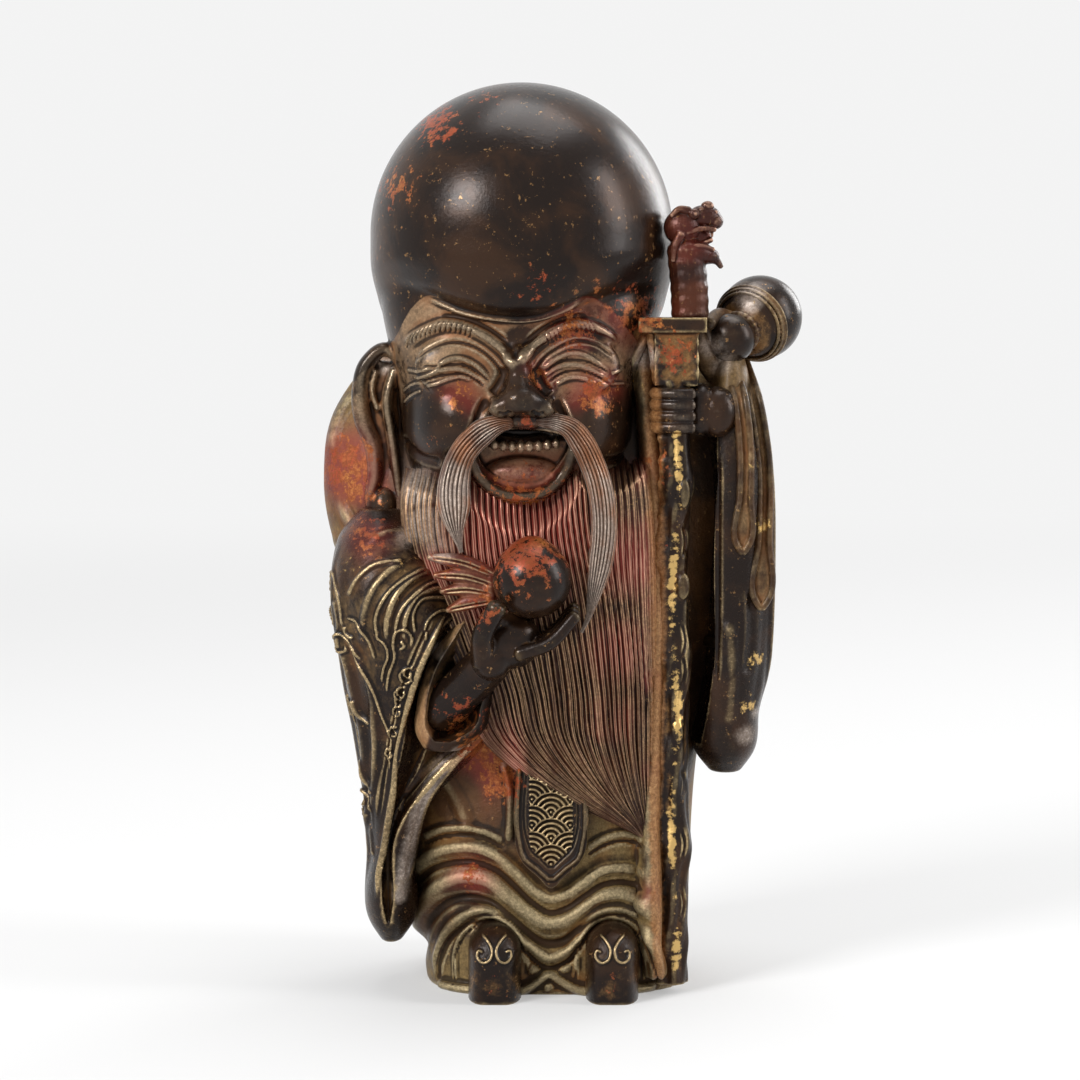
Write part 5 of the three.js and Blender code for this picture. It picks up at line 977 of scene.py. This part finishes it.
left_sleeve = fused([cut(left_bag, left_hollow)], 0.2, 5)
left_sleeve.engrave([
    ([(18.4, 74), (18.8, 64), (18.8, 52), (18.6, 42)], 1.4, 0.4),
    ([(20.4, 72), (20.4, 62), (20.4, 50), (20.2, 40)], 1.6, -0.4),
    ([(25.8, 80), (27, 70), (27.3, 58), (26.9, 44), (25.6, 36)], 1.7, 0.4),
    ([(24.9, 54), (25, 48), (24.4, 42)], 2.0, -0.3),
    ([(22, 50), (22.4, 42), (22, 35)], 2.6, 0.35)], ends=0.12, facing=0.6)
left_sleeve.engrave([
    ([(-4, 80), (-5, 66), (-5.2, 50), (-3.6, 36)], 2.0, 0.55),
    ([(1, 83), (0.2, 66), (0, 48), (0.6, 33)], 2.4, 0.6),
    ([(5, 79), (4.8, 62), (4, 46), (3.4, 36)], 2.0, 0.5),
    ([(-2, 80), (-2.6, 64), (-2.6, 48), (-1.4, 36)], 1.4, -0.5),
    ([(3, 81), (2.6, 64), (2.2, 48), (2, 36)], 1.4, -0.5)], ends=0.2, facing=0.5, side=1)
left_sleeve.carve()
dusty_folds = patch(left_sleeve.p, [(22, 83, 3.6, 0.7), (26.6, 60, 3, 0.2)])
# painted shade: below z 62 the left sleeve's coat is painted dark, fading out by z 74
cast("left_sleeve", left_sleeve, bronze_sleeve, dull=dusty_folds,
     polish_and_painted_shade=0.62 * ease(-left_sleeve.p[:, 2], -74, -62))

# Left hand. Knuckled fingers close round the staff under the block. A solid casting, slipped
# over the staff before the sleeve is set; the backs of the fingers are rubbed, and their pale crests
# are partly a painted highlight.
STAFF_X, STAFF_Y, GRIP = 15, -8.4, 77.1


def around_staff(z, *places):
    """Points round the staff's axis at height z, each given as angle, distance and rise."""
    return [(STAFF_X + out * math.cos(angle), STAFF_Y + out * math.sin(angle), z + rise)
            for angle, out, rise in places]


grip_parts = [ball((18.2, -8.3, GRIP), 2.4, 2.5, 3.5), ball((20.3, -8.0, GRIP - 0.3), 2.9, 2.9, 3.4),
              rod([(20.6, -7, GRIP - 0.8), (21.6, 0.2, 74.7)], lambda t: 2.7)]
for i in (-1.5, -0.5, 0.5, 1.5):
    finger = around_staff(GRIP + i * 1.45, (-1.0, 3.45, 0), (-1.35, 3.35, 0), (-1.9, 3.05, 0),
                          (-2.6, 2.95, 0), (-3.4, 2.85, 0))
    grip_parts.append(rod(finger, lambda t: 0.80, 40))
thumb = [(19, -7.2, GRIP + 1.6)] + around_staff(GRIP, (0.7, 3.2, 2), (1.6, 3.2, 2), (2.5, 3.2, 1.8))
left_hand = fused(grip_parts + [rod(thumb, lambda t: 0.98)], 0.12, 4)
# the pale crest colour on the fingers is partly a painted highlight
rubbed_hand_with_painted_highlight = patina("rubbed_hand_with_painted_highlight", DARK, (0.16, 0.10, 0.06), (0.46, 0.36, 0.27), dusted=0.2,
                     gilded=0.8, flaking=0.8, gloss=0.2, pores=0.5)
cast("left_hand", left_hand, rubbed_hand_with_painted_highlight, fine=0.07)

# Staff. A gnarled branch cast in one with the squared block and the ledge on top, held on the
# robe by two dowels. Its edges are rubbed down to bright gold, and the bright gold line down its
# front is partly a painted highlight.
BLOCK_Y = -7.8
knots = [GRIP * part for part in (0.09, 0.26, 0.415, 0.585, 0.75, 0.88)]
staff_rings = []
around = circle(60)
spine = 0.5 * np.exp(-((np.mod(around, 2 * np.pi) - 3.5) / 0.5) ** 2)
for z in np.linspace(1.2, 81.1, 220):
    swell = sum(0.3 * math.exp(-((z - k) / 2.1) ** 2) for k in knots)
    lean = sum((0.3 if i % 2 else -0.3) * math.exp(-((z - k) / 3.2) ** 2)
               for i, k in enumerate(knots))
    bark = 0.16 * np.sin(4 * around + 0.22 * z + 1.1 * math.sin(z / 3.3))
    bark = bark + 0.09 * np.sin(7 * around - 0.5 * z + math.sin(z / 1.9))
    out = 1.86 + swell + bark + spine * (1 + 0.3 * math.sin(1.9 * z) + 0.2 * math.sin(4.3 * z))
    staff_rings.append(np.column_stack([STAFF_X - 0.15 + lean + out * np.cos(around),
                                        STAFF_Y + out * np.sin(around), np.full(60, z)]))


def square(left, right, deep, low, high):
    return slab([(STAFF_X - left, low), (STAFF_X + right, low), (STAFF_X + right, high),
                 (STAFF_X - left, high)], BLOCK_Y - deep, BLOCK_Y + deep)


block_edge = [(STAFF_X - 3.2, BLOCK_Y - 0.4, 88), (STAFF_X - 2.7, BLOCK_Y - 0.6, 84),
              (STAFF_X - 2.3, BLOCK_Y - 0.4, 81)]
staff = fused([skin(staff_rings), square(2.85, 2.85, 2.3, 80.3, 87.6), square(5.0, 3.9, 2.9, 87.2, 89.15),
               rod(block_edge, lambda t: 0.8), ball((15.9, -10.1, 54.2), 0.9, 0.6, 1.8),
               ball((16.0, -10.1, 66.4), 0.8, 0.6, 2.0), ball((15.2, -10.2, 35), 0.8, 0.5, 1.8)], 0.16, 4)
x, y, z = staff.p.T
cast_unevenly = np.sin(x * 2.3 + 1.7 * np.sin(z * 1.1)) * np.sin(z * 1.9 + y * 1.3)
staff.h += 0.12 * cast_unevenly * ease(z, 79, 81) * ease(-z, -87, -86)
for z in (12, 20, 28, 43, 47, 60):
    staff.stroke([(15.9, z - 2.2), (16.3, z), (15.8, z + 2.4)], 0.7, -0.3, ends=0.3)
staff.carve()
on_block = ease(staff.p[:, 2], 80.6, 81.2) * ease(-staff.p[:, 2], -87.4, -87)
gilt_staff = patina("gilt_staff", DARK, OCHRE, (0.5, 0.37, 0.19), dusted=0.34, gilded=0.9, flaking=1.2)
cast("staff", staff, gilt_staff, dull=0.32 * on_block)

# Dragon head. It crowns the staff: a ringed neck on a peg, an open mouth with a curled
# snout, horns, a beaded brow and the traces of red lacquer in the skull.
DRAGON_X, NECK_END = 17.1, 95.9


def near_skull(*places):
    """Places counted from the top of the dragon's neck."""
    return [(DRAGON_X + x, BLOCK_Y + y, NECK_END + z) for x, y, z in places]


dragon_neck = [(DRAGON_X - 0.3, BLOCK_Y, 89.6), (DRAGON_X - 0.4, BLOCK_Y, 92.7)]
dragon_neck += near_skull((-0.9, 0, 2))
dragon_parts = [rod(dragon_neck, lambda t: 2.45 * (1 + 0.018 * math.cos(t * 10 * math.pi)), 60)]
for place, size in (((-1.3, 0, 4.9), (2.5, 2.3, 2.4)), ((1.5, 0, 6.2), (2.2, 1.8, 1.6)),
                    ((2.9, 0, 5.7), (1.1, 1.5, 1.1)), ((-0.1, 0, 1.5), (3.1, 2.3, 1.65)),
                    ((1.9, 0, 1.2), (1.6, 1.6, 1.1))):
    dragon_parts.append(ball(*near_skull(place), *size))
whisker = near_skull((2.2, 0, 0.9), (3.2, 0, 0.5), (3.7, 0, -0.2))
tongue = near_skull((-0.4, 0, 3.1), (1.2, 0, 2.9), (2.4, 0, 3.3))
dragon_parts += [rod(whisker, lambda t: (0.7 - 0.35 * t, 0.9 - 0.5 * t)),
                 rod(tongue, lambda t: (0.4, 0.9)), ball(*near_skull((0.2, 0, 3.7)), 2.2, 0.8, 1.6)]
for side in (-1, 1):
    for place, size in (((0.1, side * 1.7, 6.6), (0.75, 0.6, 0.7)),
                        ((0.25, side * 2.15, 6.6), (0.32, 0.25, 0.32)),
                        ((1.9, side * 0.8, 7.6), (0.85, 0.7, 0.7)),
                        ((1.2, side * 1.1, 7.1), (0.6, 0.5, 0.5)),
                        ((2.8, side * 0.8, 6.7), (0.5, 0.5, 0.5))):
        dragon_parts.append(ball(*near_skull(place), *size))
    horn = near_skull((-0.6, side * 1.4, 7.0), (-1.8, side * 1.6, 7.2), (-2.8, side * 1.6, 6.4))
    mane = near_skull((-1.6, side * 2.0, 4.0), (-2.4, side * 2.2, 2.4), (-2.6, side * 2.0, 0.6))
    fang = near_skull((2.4, side * 0.9, 5.0), (2.5, side * 0.85, 3.7))
    upper_lip = near_skull((-0.8, side * 1.9, 4.2), (1.0, side * 1.75, 4.7), (2.8, side * 1.3, 4.6))
    jaw_edge = near_skull((-1.0, side * 1.9, 2.2), (0.8, side * 1.8, 2.5), (2.6, side * 1.1, 2.0))
    dragon_parts += [rod(horn, lambda t: 0.6 - 0.3 * t), rod(mane, lambda t: 0.6 - 0.3 * t),
                     rod(fang, lambda t: 0.36 - 0.2 * t, 10), rod(upper_lip, lambda t: 0.35),
                     rod(jaw_edge, lambda t: 0.35)]
dragon = fused(dragon_parts, 0.1, 2)
lacquered_dragon = patina("lacquered_dragon", (0.026, 0.009, 0.006), (0.10, 0.042, 0.024),
                          (0.52, 0.30, 0.20), dusted=0.3, gilded=1.0, flaking=0.9, blush=0.55, gloss=0.15)
smooth_neck = 0.8 * ease(NECK_END + 0.8 - dragon.p[:, 2], 0, 1.2) * ease(dragon.p[:, 2], 90.4, 92)
cast("dragon_head", dragon, lacquered_dragon, fine=0.06, polish_and_painted_shade=smooth_neck)

# Gourd. Two polished bulbs, the small one in front, cast in one on a slant beside the staff.
# The bronze has a dark mirror skin, a little dusty where the cloth lay round it.
SMALL, SMALL_R, BIG, BIG_R = np.array([22.3, -5.3, 86.4]), 3.25, np.array([26.5, 1.0, 89.0]), 5.6
WAIST_R = 1.7
gap = float(np.linalg.norm(BIG - SMALL))
axis = (BIG - SMALL) / gap
across = np.cross(axis, [0, 0, 1])
across /= np.linalg.norm(across)
upward = np.cross(across, axis)
gourd_rings = []
around = circle(90)[:, None]
for y in np.linspace(-SMALL_R + 0.01, gap + BIG_R - 0.01, 120):
    half = max(math.sqrt(max(0, SMALL_R ** 2 - y * y)), math.sqrt(max(0, BIG_R ** 2 - (y - gap) ** 2)),
               WAIST_R if 0 < y < gap else 0.01)
    gourd_rings.append(SMALL + axis * y + half * (np.cos(around) * across + np.sin(around) * upward))
gourd = fused([skin(gourd_rings)], 0.17, 10)
along = (gourd.p - SMALL) @ axis
round_waist = ease(along, 1.8, 2.6) * ease(-along, -4.6, -3.6)
on_big = ease(along, 4, 5) * ease(-along, -10, -7)
cast("gourd", gourd, bronze_dark, dull=0.6 * round_waist + 0.255 * on_big)

# Gourd cord. Two turns round the waist of the gourd, three fine rings on its neck and a tie of
# cloth to the ledge, chased as rope and gilt. It is cast apart and sprung over the waist.
waist = SMALL + axis * 2.9


def turn_of_cord(shift, out, points, thick, steps):
    ring = [tuple(waist + axis * shift + out * (math.cos(a) * across + math.sin(a) * upward))
            for a in np.linspace(0, 2 * np.pi, points)]
    return rod(ring, thick, steps, 10)


cord_parts = [turn_of_cord(shift, 2.45, 25, lambda t: 0.42 + 0.05 * math.sin(t * 120), 90)
              for shift in (-0.5, 0.5)]
cord_parts += [turn_of_cord(shift, out, 33, lambda t: 0.22, 120)
               for shift, out in ((1.7, 4.62), (2.2, 4.96), (2.7, 5.22))]
tie_start, tie_end = np.array([19.3, -7.2, 88.3]), waist + (-1.6, 0.9, 1.3)
tie = [tuple(tie_start), tuple((tie_start + tie_end) / 2 + (0, 0.4, 0.7)), tuple(tie_end)]
cord_parts += [rod(tie, lambda t: (0.9 + 0.45 * t, 1.0 + 0.3 * t)),
               rod([(18.3, -6.2, 87.2), (19.2, -5.2, 84.6), (20.6, -4.0, 81.2)],
                   lambda t: (1.5 + 0.5 * math.sin(math.pi * t), 0.9)),
               rod([(19.0, -6.9, 87.6), (20.2, -6.0, 84.8), (21.8, -4.2, 82)], lambda t: 0.5)]
gilt_ribbon = patina("gilt_ribbon", (0.03, 0.016, 0.009), (0.20, 0.12, 0.055), GILT, gilded=1.0)
cast("gourd_cord", fused(cord_parts, 0.11, 2), gilt_ribbon)

# Ribbons. Two sashes fall from the gourd over the left sleeve, each a flat band with a turned
# edge. They are gilt castings, let into the sleeve.
RIBBON_WIDE = 2.2
for name, top, line in (
        ("gourd_ribbon_inner", (22.1, -2.7, 82.6), [(23.3, 78.5), (24, 72), (24, 66), (23.7, 59.5)]),
        ("gourd_ribbon_outer", (23.9, -0.9, 83.2), [(25.3, 78.5), (26.6, 70), (26.6, 60), (26.3, 52)])):
    # from its top at the gourd each ribbon lies on the front of the sleeve
    middle = [top] + [(x, float(front_of(LEFT, LEFT_Y, np.float64(x), np.float64(z))) - 0.5, z)
                      for x, z in line]
    left_edge = [(x - RIBBON_WIDE * 0.32, y - 0.5, z) for x, y, z in middle]
    right_edge = [(x + RIBBON_WIDE * 0.32, y - 0.5, z) for x, y, z in middle]
    turn_back = [(middle[-1][0], middle[-1][1] - 0.5, middle[-1][2] - 0.9)]
    band = rod(middle, lambda t: ((RIBBON_WIDE / 2) * (0.8 + 0.1 * t), 0.45), 60)
    edging = rod(left_edge + turn_back + right_edge[::-1], lambda t: 0.47, 150, 14)
    cast(name, fused([band, edging], 0.12, 4), gilt_ribbon)

# Apron. The end of the sash hangs in front as a pointed panel, chased with rows of waves. It
# is a thin casting, curved to the robe and laid into its front.
FLAP = [(-5.9, 30), (-5.95, 24), (-5.8, 19.6), (-4.9, 17.8), (-3.2, 16.3), (-1.3, 14.6), (0.6, 16.3),
        (2.3, 17.8), (3.2, 19.6), (3.3, 24), (3.3, 30)]
BORDER = [(-5.4, 31), (-5.4, 20.6), (-4.9, 18.7), (-3.1, 17.2), (-1.3, 15.8), (0.5, 17.2), (2.3, 18.7),
          (2.8, 20.6), (2.8, 31)]
INNER = [(-4.5, 31), (-4.4, 20.9), (-3.9, 19.6), (-2.6, 18.4), (-1.3, 17.3), (0, 18.4), (1.3, 19.6),
         (1.8, 20.9), (1.9, 31)]
APRON_X, WAVE_SPAN, WAVE_LINES = -1.3, 5.0, 4
flap = slab(bend(FLAP, 60), -30, -6)
apron = fused([cut(flap, column(ROBE, BODY_Y, np.linspace(8, 36, 40), grow=2.2), "INTERSECT")], 0.13, 3)
apron.stroke(BORDER, 0.95, 0.5, ends=0)
apron.stroke(INNER, 0.4, -0.2, ends=0)
x, y, z = apron.p.T
wave = np.zeros(len(x))
done = np.zeros(len(x), bool)
for row in range(14):
    centre_z = 14.4 + row * WAVE_SPAN * 0.34
    x0 = APRON_X + (WAVE_SPAN / 2 if row % 2 else 0)
    near_x = x0 + np.round((x - x0) / WAVE_SPAN) * WAVE_SPAN
    d = np.hypot(x - near_x, z - centre_z) / (WAVE_SPAN * 0.53)
    here = (d < 1) & ~done
    wave[here] = 0.26 * np.cos(2 * np.pi * d[here] * WAVE_LINES + 0.2) + 0.08
    done |= here
low_edge = bend(INNER, 80)[20:60]
above_edge = z - np.interp(x, low_edge[:, 0], low_edge[:, 1], left=99, right=99)
inside_border = ease(above_edge, 0.1, 0.5) * ease(-abs(x - APRON_X), -3.0, -2.7)
apron.h += wave * inside_border * (apron.n[:, 1] < -0.4)
apron.carve()
chased_apron = patina("chased_apron", DARK, OLIVE, GILT, gilded=1.0)
cast("apron", apron, chased_apron, fine=0.07, polish_and_painted_shade=1.1 * (1 - inside_border))

# Shoes. Two solid upturned toes stand out from under the hem, each with a pair of curls. They
# are cast apart and let into the robe, and the tips are rubbed to a shine.
bronze_shoe = patina("bronze_shoe", DARK, OCHRE, GILT, dusted=0.3, gilded=0.9, gloss=0.18)
TOE_FRONT, TOE_LONG, TOE_HALF, TOE_HIGH = -11.2, 5, 3.5, 9.9
SHOE_CURL = [(-1.7, 8.9), (-0.75, 8.1), (-0.25, 7), (-0.55, 6), (-1.4, 5.6), (-2.1, 6.2), (-1.9, 7),
             (-1.3, 6.8)]
toe_tip = TOE_FRONT - TOE_LONG * np.sin(np.linspace(0.12, np.pi / 2 - 0.03, 20))
for name, middle in (("right_shoe", -8.7), ("left_shoe", 6.7)):
    toe = []
    for y in np.concatenate([[-8.4, -9.2, -10.2, TOE_FRONT], toe_tip]):
        tight = 1 if y > TOE_FRONT else math.cos(math.asin(min(1, (-y + TOE_FRONT) / TOE_LONG)))
        half = TOE_HALF * (0.25 + 0.75 * tight ** 0.75)
        high = TOE_HIGH * (0.45 + 0.55 * tight ** 0.8)
        over = np.linspace(0, np.pi, 40)
        up = np.linspace(0, high - half, 12)[:-1]
        sole = np.linspace(middle - half, middle + half, 22)[1:-1]
        across = np.concatenate([np.full(11, middle + half), middle + half * np.cos(over),
                                 np.full(11, middle - half), sole])
        rise = np.concatenate([up, high - half + half * np.sin(over), up[::-1], np.zeros(20)])
        toe.append(np.column_stack([across, np.full(len(across), y), rise]))
    shoe = fused([skin(toe)], 0.15, 5)
    shoe.p[:, 2] = np.maximum(shoe.p[:, 2], 0)
    for mirror in (1, -1):
        shoe.stroke([(middle + mirror * x, z) for x, z in SHOE_CURL], 0.62, 0.4, ends=0.08)
    shoe.carve()
    shoe.p[:, 2] = np.maximum(shoe.p[:, 2], 0)
    cast(name, shoe, bronze_shoe, dull=0.22 * ease(-shoe.p[:, 2], -5.6, -3))

# Cores, foot plate, rivets, pins and dowels. They close and join the castings and hardly
# show: fired clay left inside, turned brass for the pins, a rolled brass plate in the foot.


def workshop(name, colour, other, metallic, rough, scale):
    """A plain workshop finish, mottled between two colours."""
    material = bpy.data.materials.new(name)
    bench = Bench(material)
    mottle = bench.noise(scale, 6, 0.5)
    tone = bench.mix(bench.ramp(mottle, 0.35, 0.68, curve="LINEAR"), colour, other)
    surface = bench.nodes["Principled BSDF"].inputs
    bench.feed(surface["Base Color"], tone)
    bench.feed(surface["Roughness"], bench.ramp(mottle, 0, 1, rough - 0.08, rough + 0.12, "LINEAR"))
    bench.feed(surface["Normal"], bench.bump(mottle, 0.4, 0.0001))
    surface["Metallic"].default_value = metallic
    return material


core_clay = workshop("core_clay", (0.14, 0.08, 0.05), (0.24, 0.15, 0.10), 0.0, 0.85, 260)
turned_brass = workshop("turned_brass", (0.10, 0.062, 0.03), (0.055, 0.034, 0.018), 1.0, 0.45, 700)
plate_brass = workshop("plate_brass", (0.36, 0.25, 0.10), (0.20, 0.13, 0.06), 1.0, 0.45, 180)
HIDDEN_FINISHES = {"_core": core_clay, "base_plate": plate_brass, "base_rivet": turned_brass,
                   "neck_pin": turned_brass, "_dowel": turned_brass}
for node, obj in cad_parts.items():
    for part_of_name, finish in HIDDEN_FINISHES.items():
        if part_of_name in node:
            obj.data.materials.clear()
            obj.data.materials.append(finish)

# Studio. The statue stands on a wide sheet of pale paper under four soft lamps, and the camera
# looks at it from a forearm's length away, a little from above.
PALE_GREY = (0.90, 0.90, 0.90)


def seen_rays(bench):
    """One for camera, glossy and transmitted rays, zero for the light that falls on the object."""
    rays = bench.nodes.new("ShaderNodeLightPath").outputs
    seen = bench.calc("MAXIMUM", rays["Is Camera Ray"], rays["Is Glossy Ray"])
    return bench.calc("MAXIMUM", seen, rays["Is Transmission Ray"])


floor_mesh = bpy.data.meshes.new("floor")
floor_mesh.from_pydata([(-6, -6, 0), (6, -6, 0), (6, 6, 0), (-6, 6, 0)], [], [(0, 1, 2, 3)])
floor = bpy.data.objects.new("floor", floor_mesh)
bpy.context.scene.collection.objects.link(floor)
pale_paper = bpy.data.materials.new("pale_paper")
bench = Bench(pale_paper)
paper = bench.nodes["Principled BSDF"]
fibre = bench.noise(40, 2, 0.5, space="Generated")
bench.feed(paper.inputs["Base Color"], bench.ramp(fibre, 0, 1, 0.74, 0.77, "LINEAR"))
paper.inputs["Roughness"].default_value = 0.8
# seen by the camera or in a reflection, the sheet fades with distance into the pale room, and
# near the statue it keeps the shadow
spot = bench.node("TexCoord", "Object", {})
distance = bench.node("VectorMath", "Value", {0: spot}, operation="LENGTH")
fade_out = bench.times(seen_rays(bench), bench.ramp(distance, 0.05, 0.8, 0.4, 1.0))
even_light = bench.node("Emission", "Emission", {"Color": PALE_GREY})
sheet = bench.node("MixShader", "Shader", {0: fade_out, 1: paper.outputs["BSDF"], 2: even_light})
bench.feed(bench.nodes["Material Output"].inputs["Surface"], sheet)
floor_mesh.materials.append(pale_paper)

world = bpy.data.worlds.new("studio")
bpy.context.scene.world = world
bench = Bench(world)
room = bench.nodes["Background"].inputs
bench.feed(room["Color"], PALE_GREY)
bench.feed(room["Strength"], bench.ramp(seen_rays(bench), 0, 1, 0.28, 1.0, "LINEAR"))


def lamp(name, place, aim_high, wide, tall, power):
    """A soft rectangular lamp that looks at the statue's axis at a height in metres."""
    light = bpy.data.lights.new(name, "AREA")
    light.shape, light.size, light.size_y, light.energy = "RECTANGLE", wide, tall, power
    obj = bpy.data.objects.new(name, light)
    bpy.context.scene.collection.objects.link(obj)
    obj.location = place
    way = mathutils.Vector((0, 0, aim_high)) - mathutils.Vector(place)
    obj.rotation_euler = way.to_track_quat("-Z", "Y").to_euler()


lamp("key", (-0.58, -0.53, 0.50), 0.07, 0.3, 0.3, 7.2)
lamp("fill", (0.66, -0.12, 0.34), 0.07, 0.16, 0.5, 2.6)
lamp("top", (0.05, 0.10, 0.75), 0.06, 0.5, 0.4, 3.0)
lamp("back", (0.50, 0.55, 0.34), 0.06, 0.3, 0.4, 2.4)

PHOTO_SIZE, PHOTO_RIGHT, PHOTO_UP = 1080, -21, -5  # the photograph and the shift of its middle, pixels
CAMERA_AWAY, CAMERA_HIGH, CAMERA_TILT = 399.47, 94.95, 85  # mm, mm and degrees from straight down
camera = bpy.data.objects.new("camera", bpy.data.cameras.new("camera"))
bpy.context.scene.collection.objects.link(camera)
camera.data.lens, camera.data.sensor_width = 100, 36
camera.data.shift_x, camera.data.shift_y = PHOTO_RIGHT / PHOTO_SIZE, PHOTO_UP / PHOTO_SIZE
camera.location = (np.array([0, -CAMERA_AWAY, CAMERA_HIGH]) + FOOT_TO_BOX) / 1000
camera.rotation_euler = (math.radians(CAMERA_TILT), 0, 0)
camera.data.clip_start = 0.01
bpy.context.scene.camera = camera
bpy.context.scene.view_settings.view_transform = "Standard"
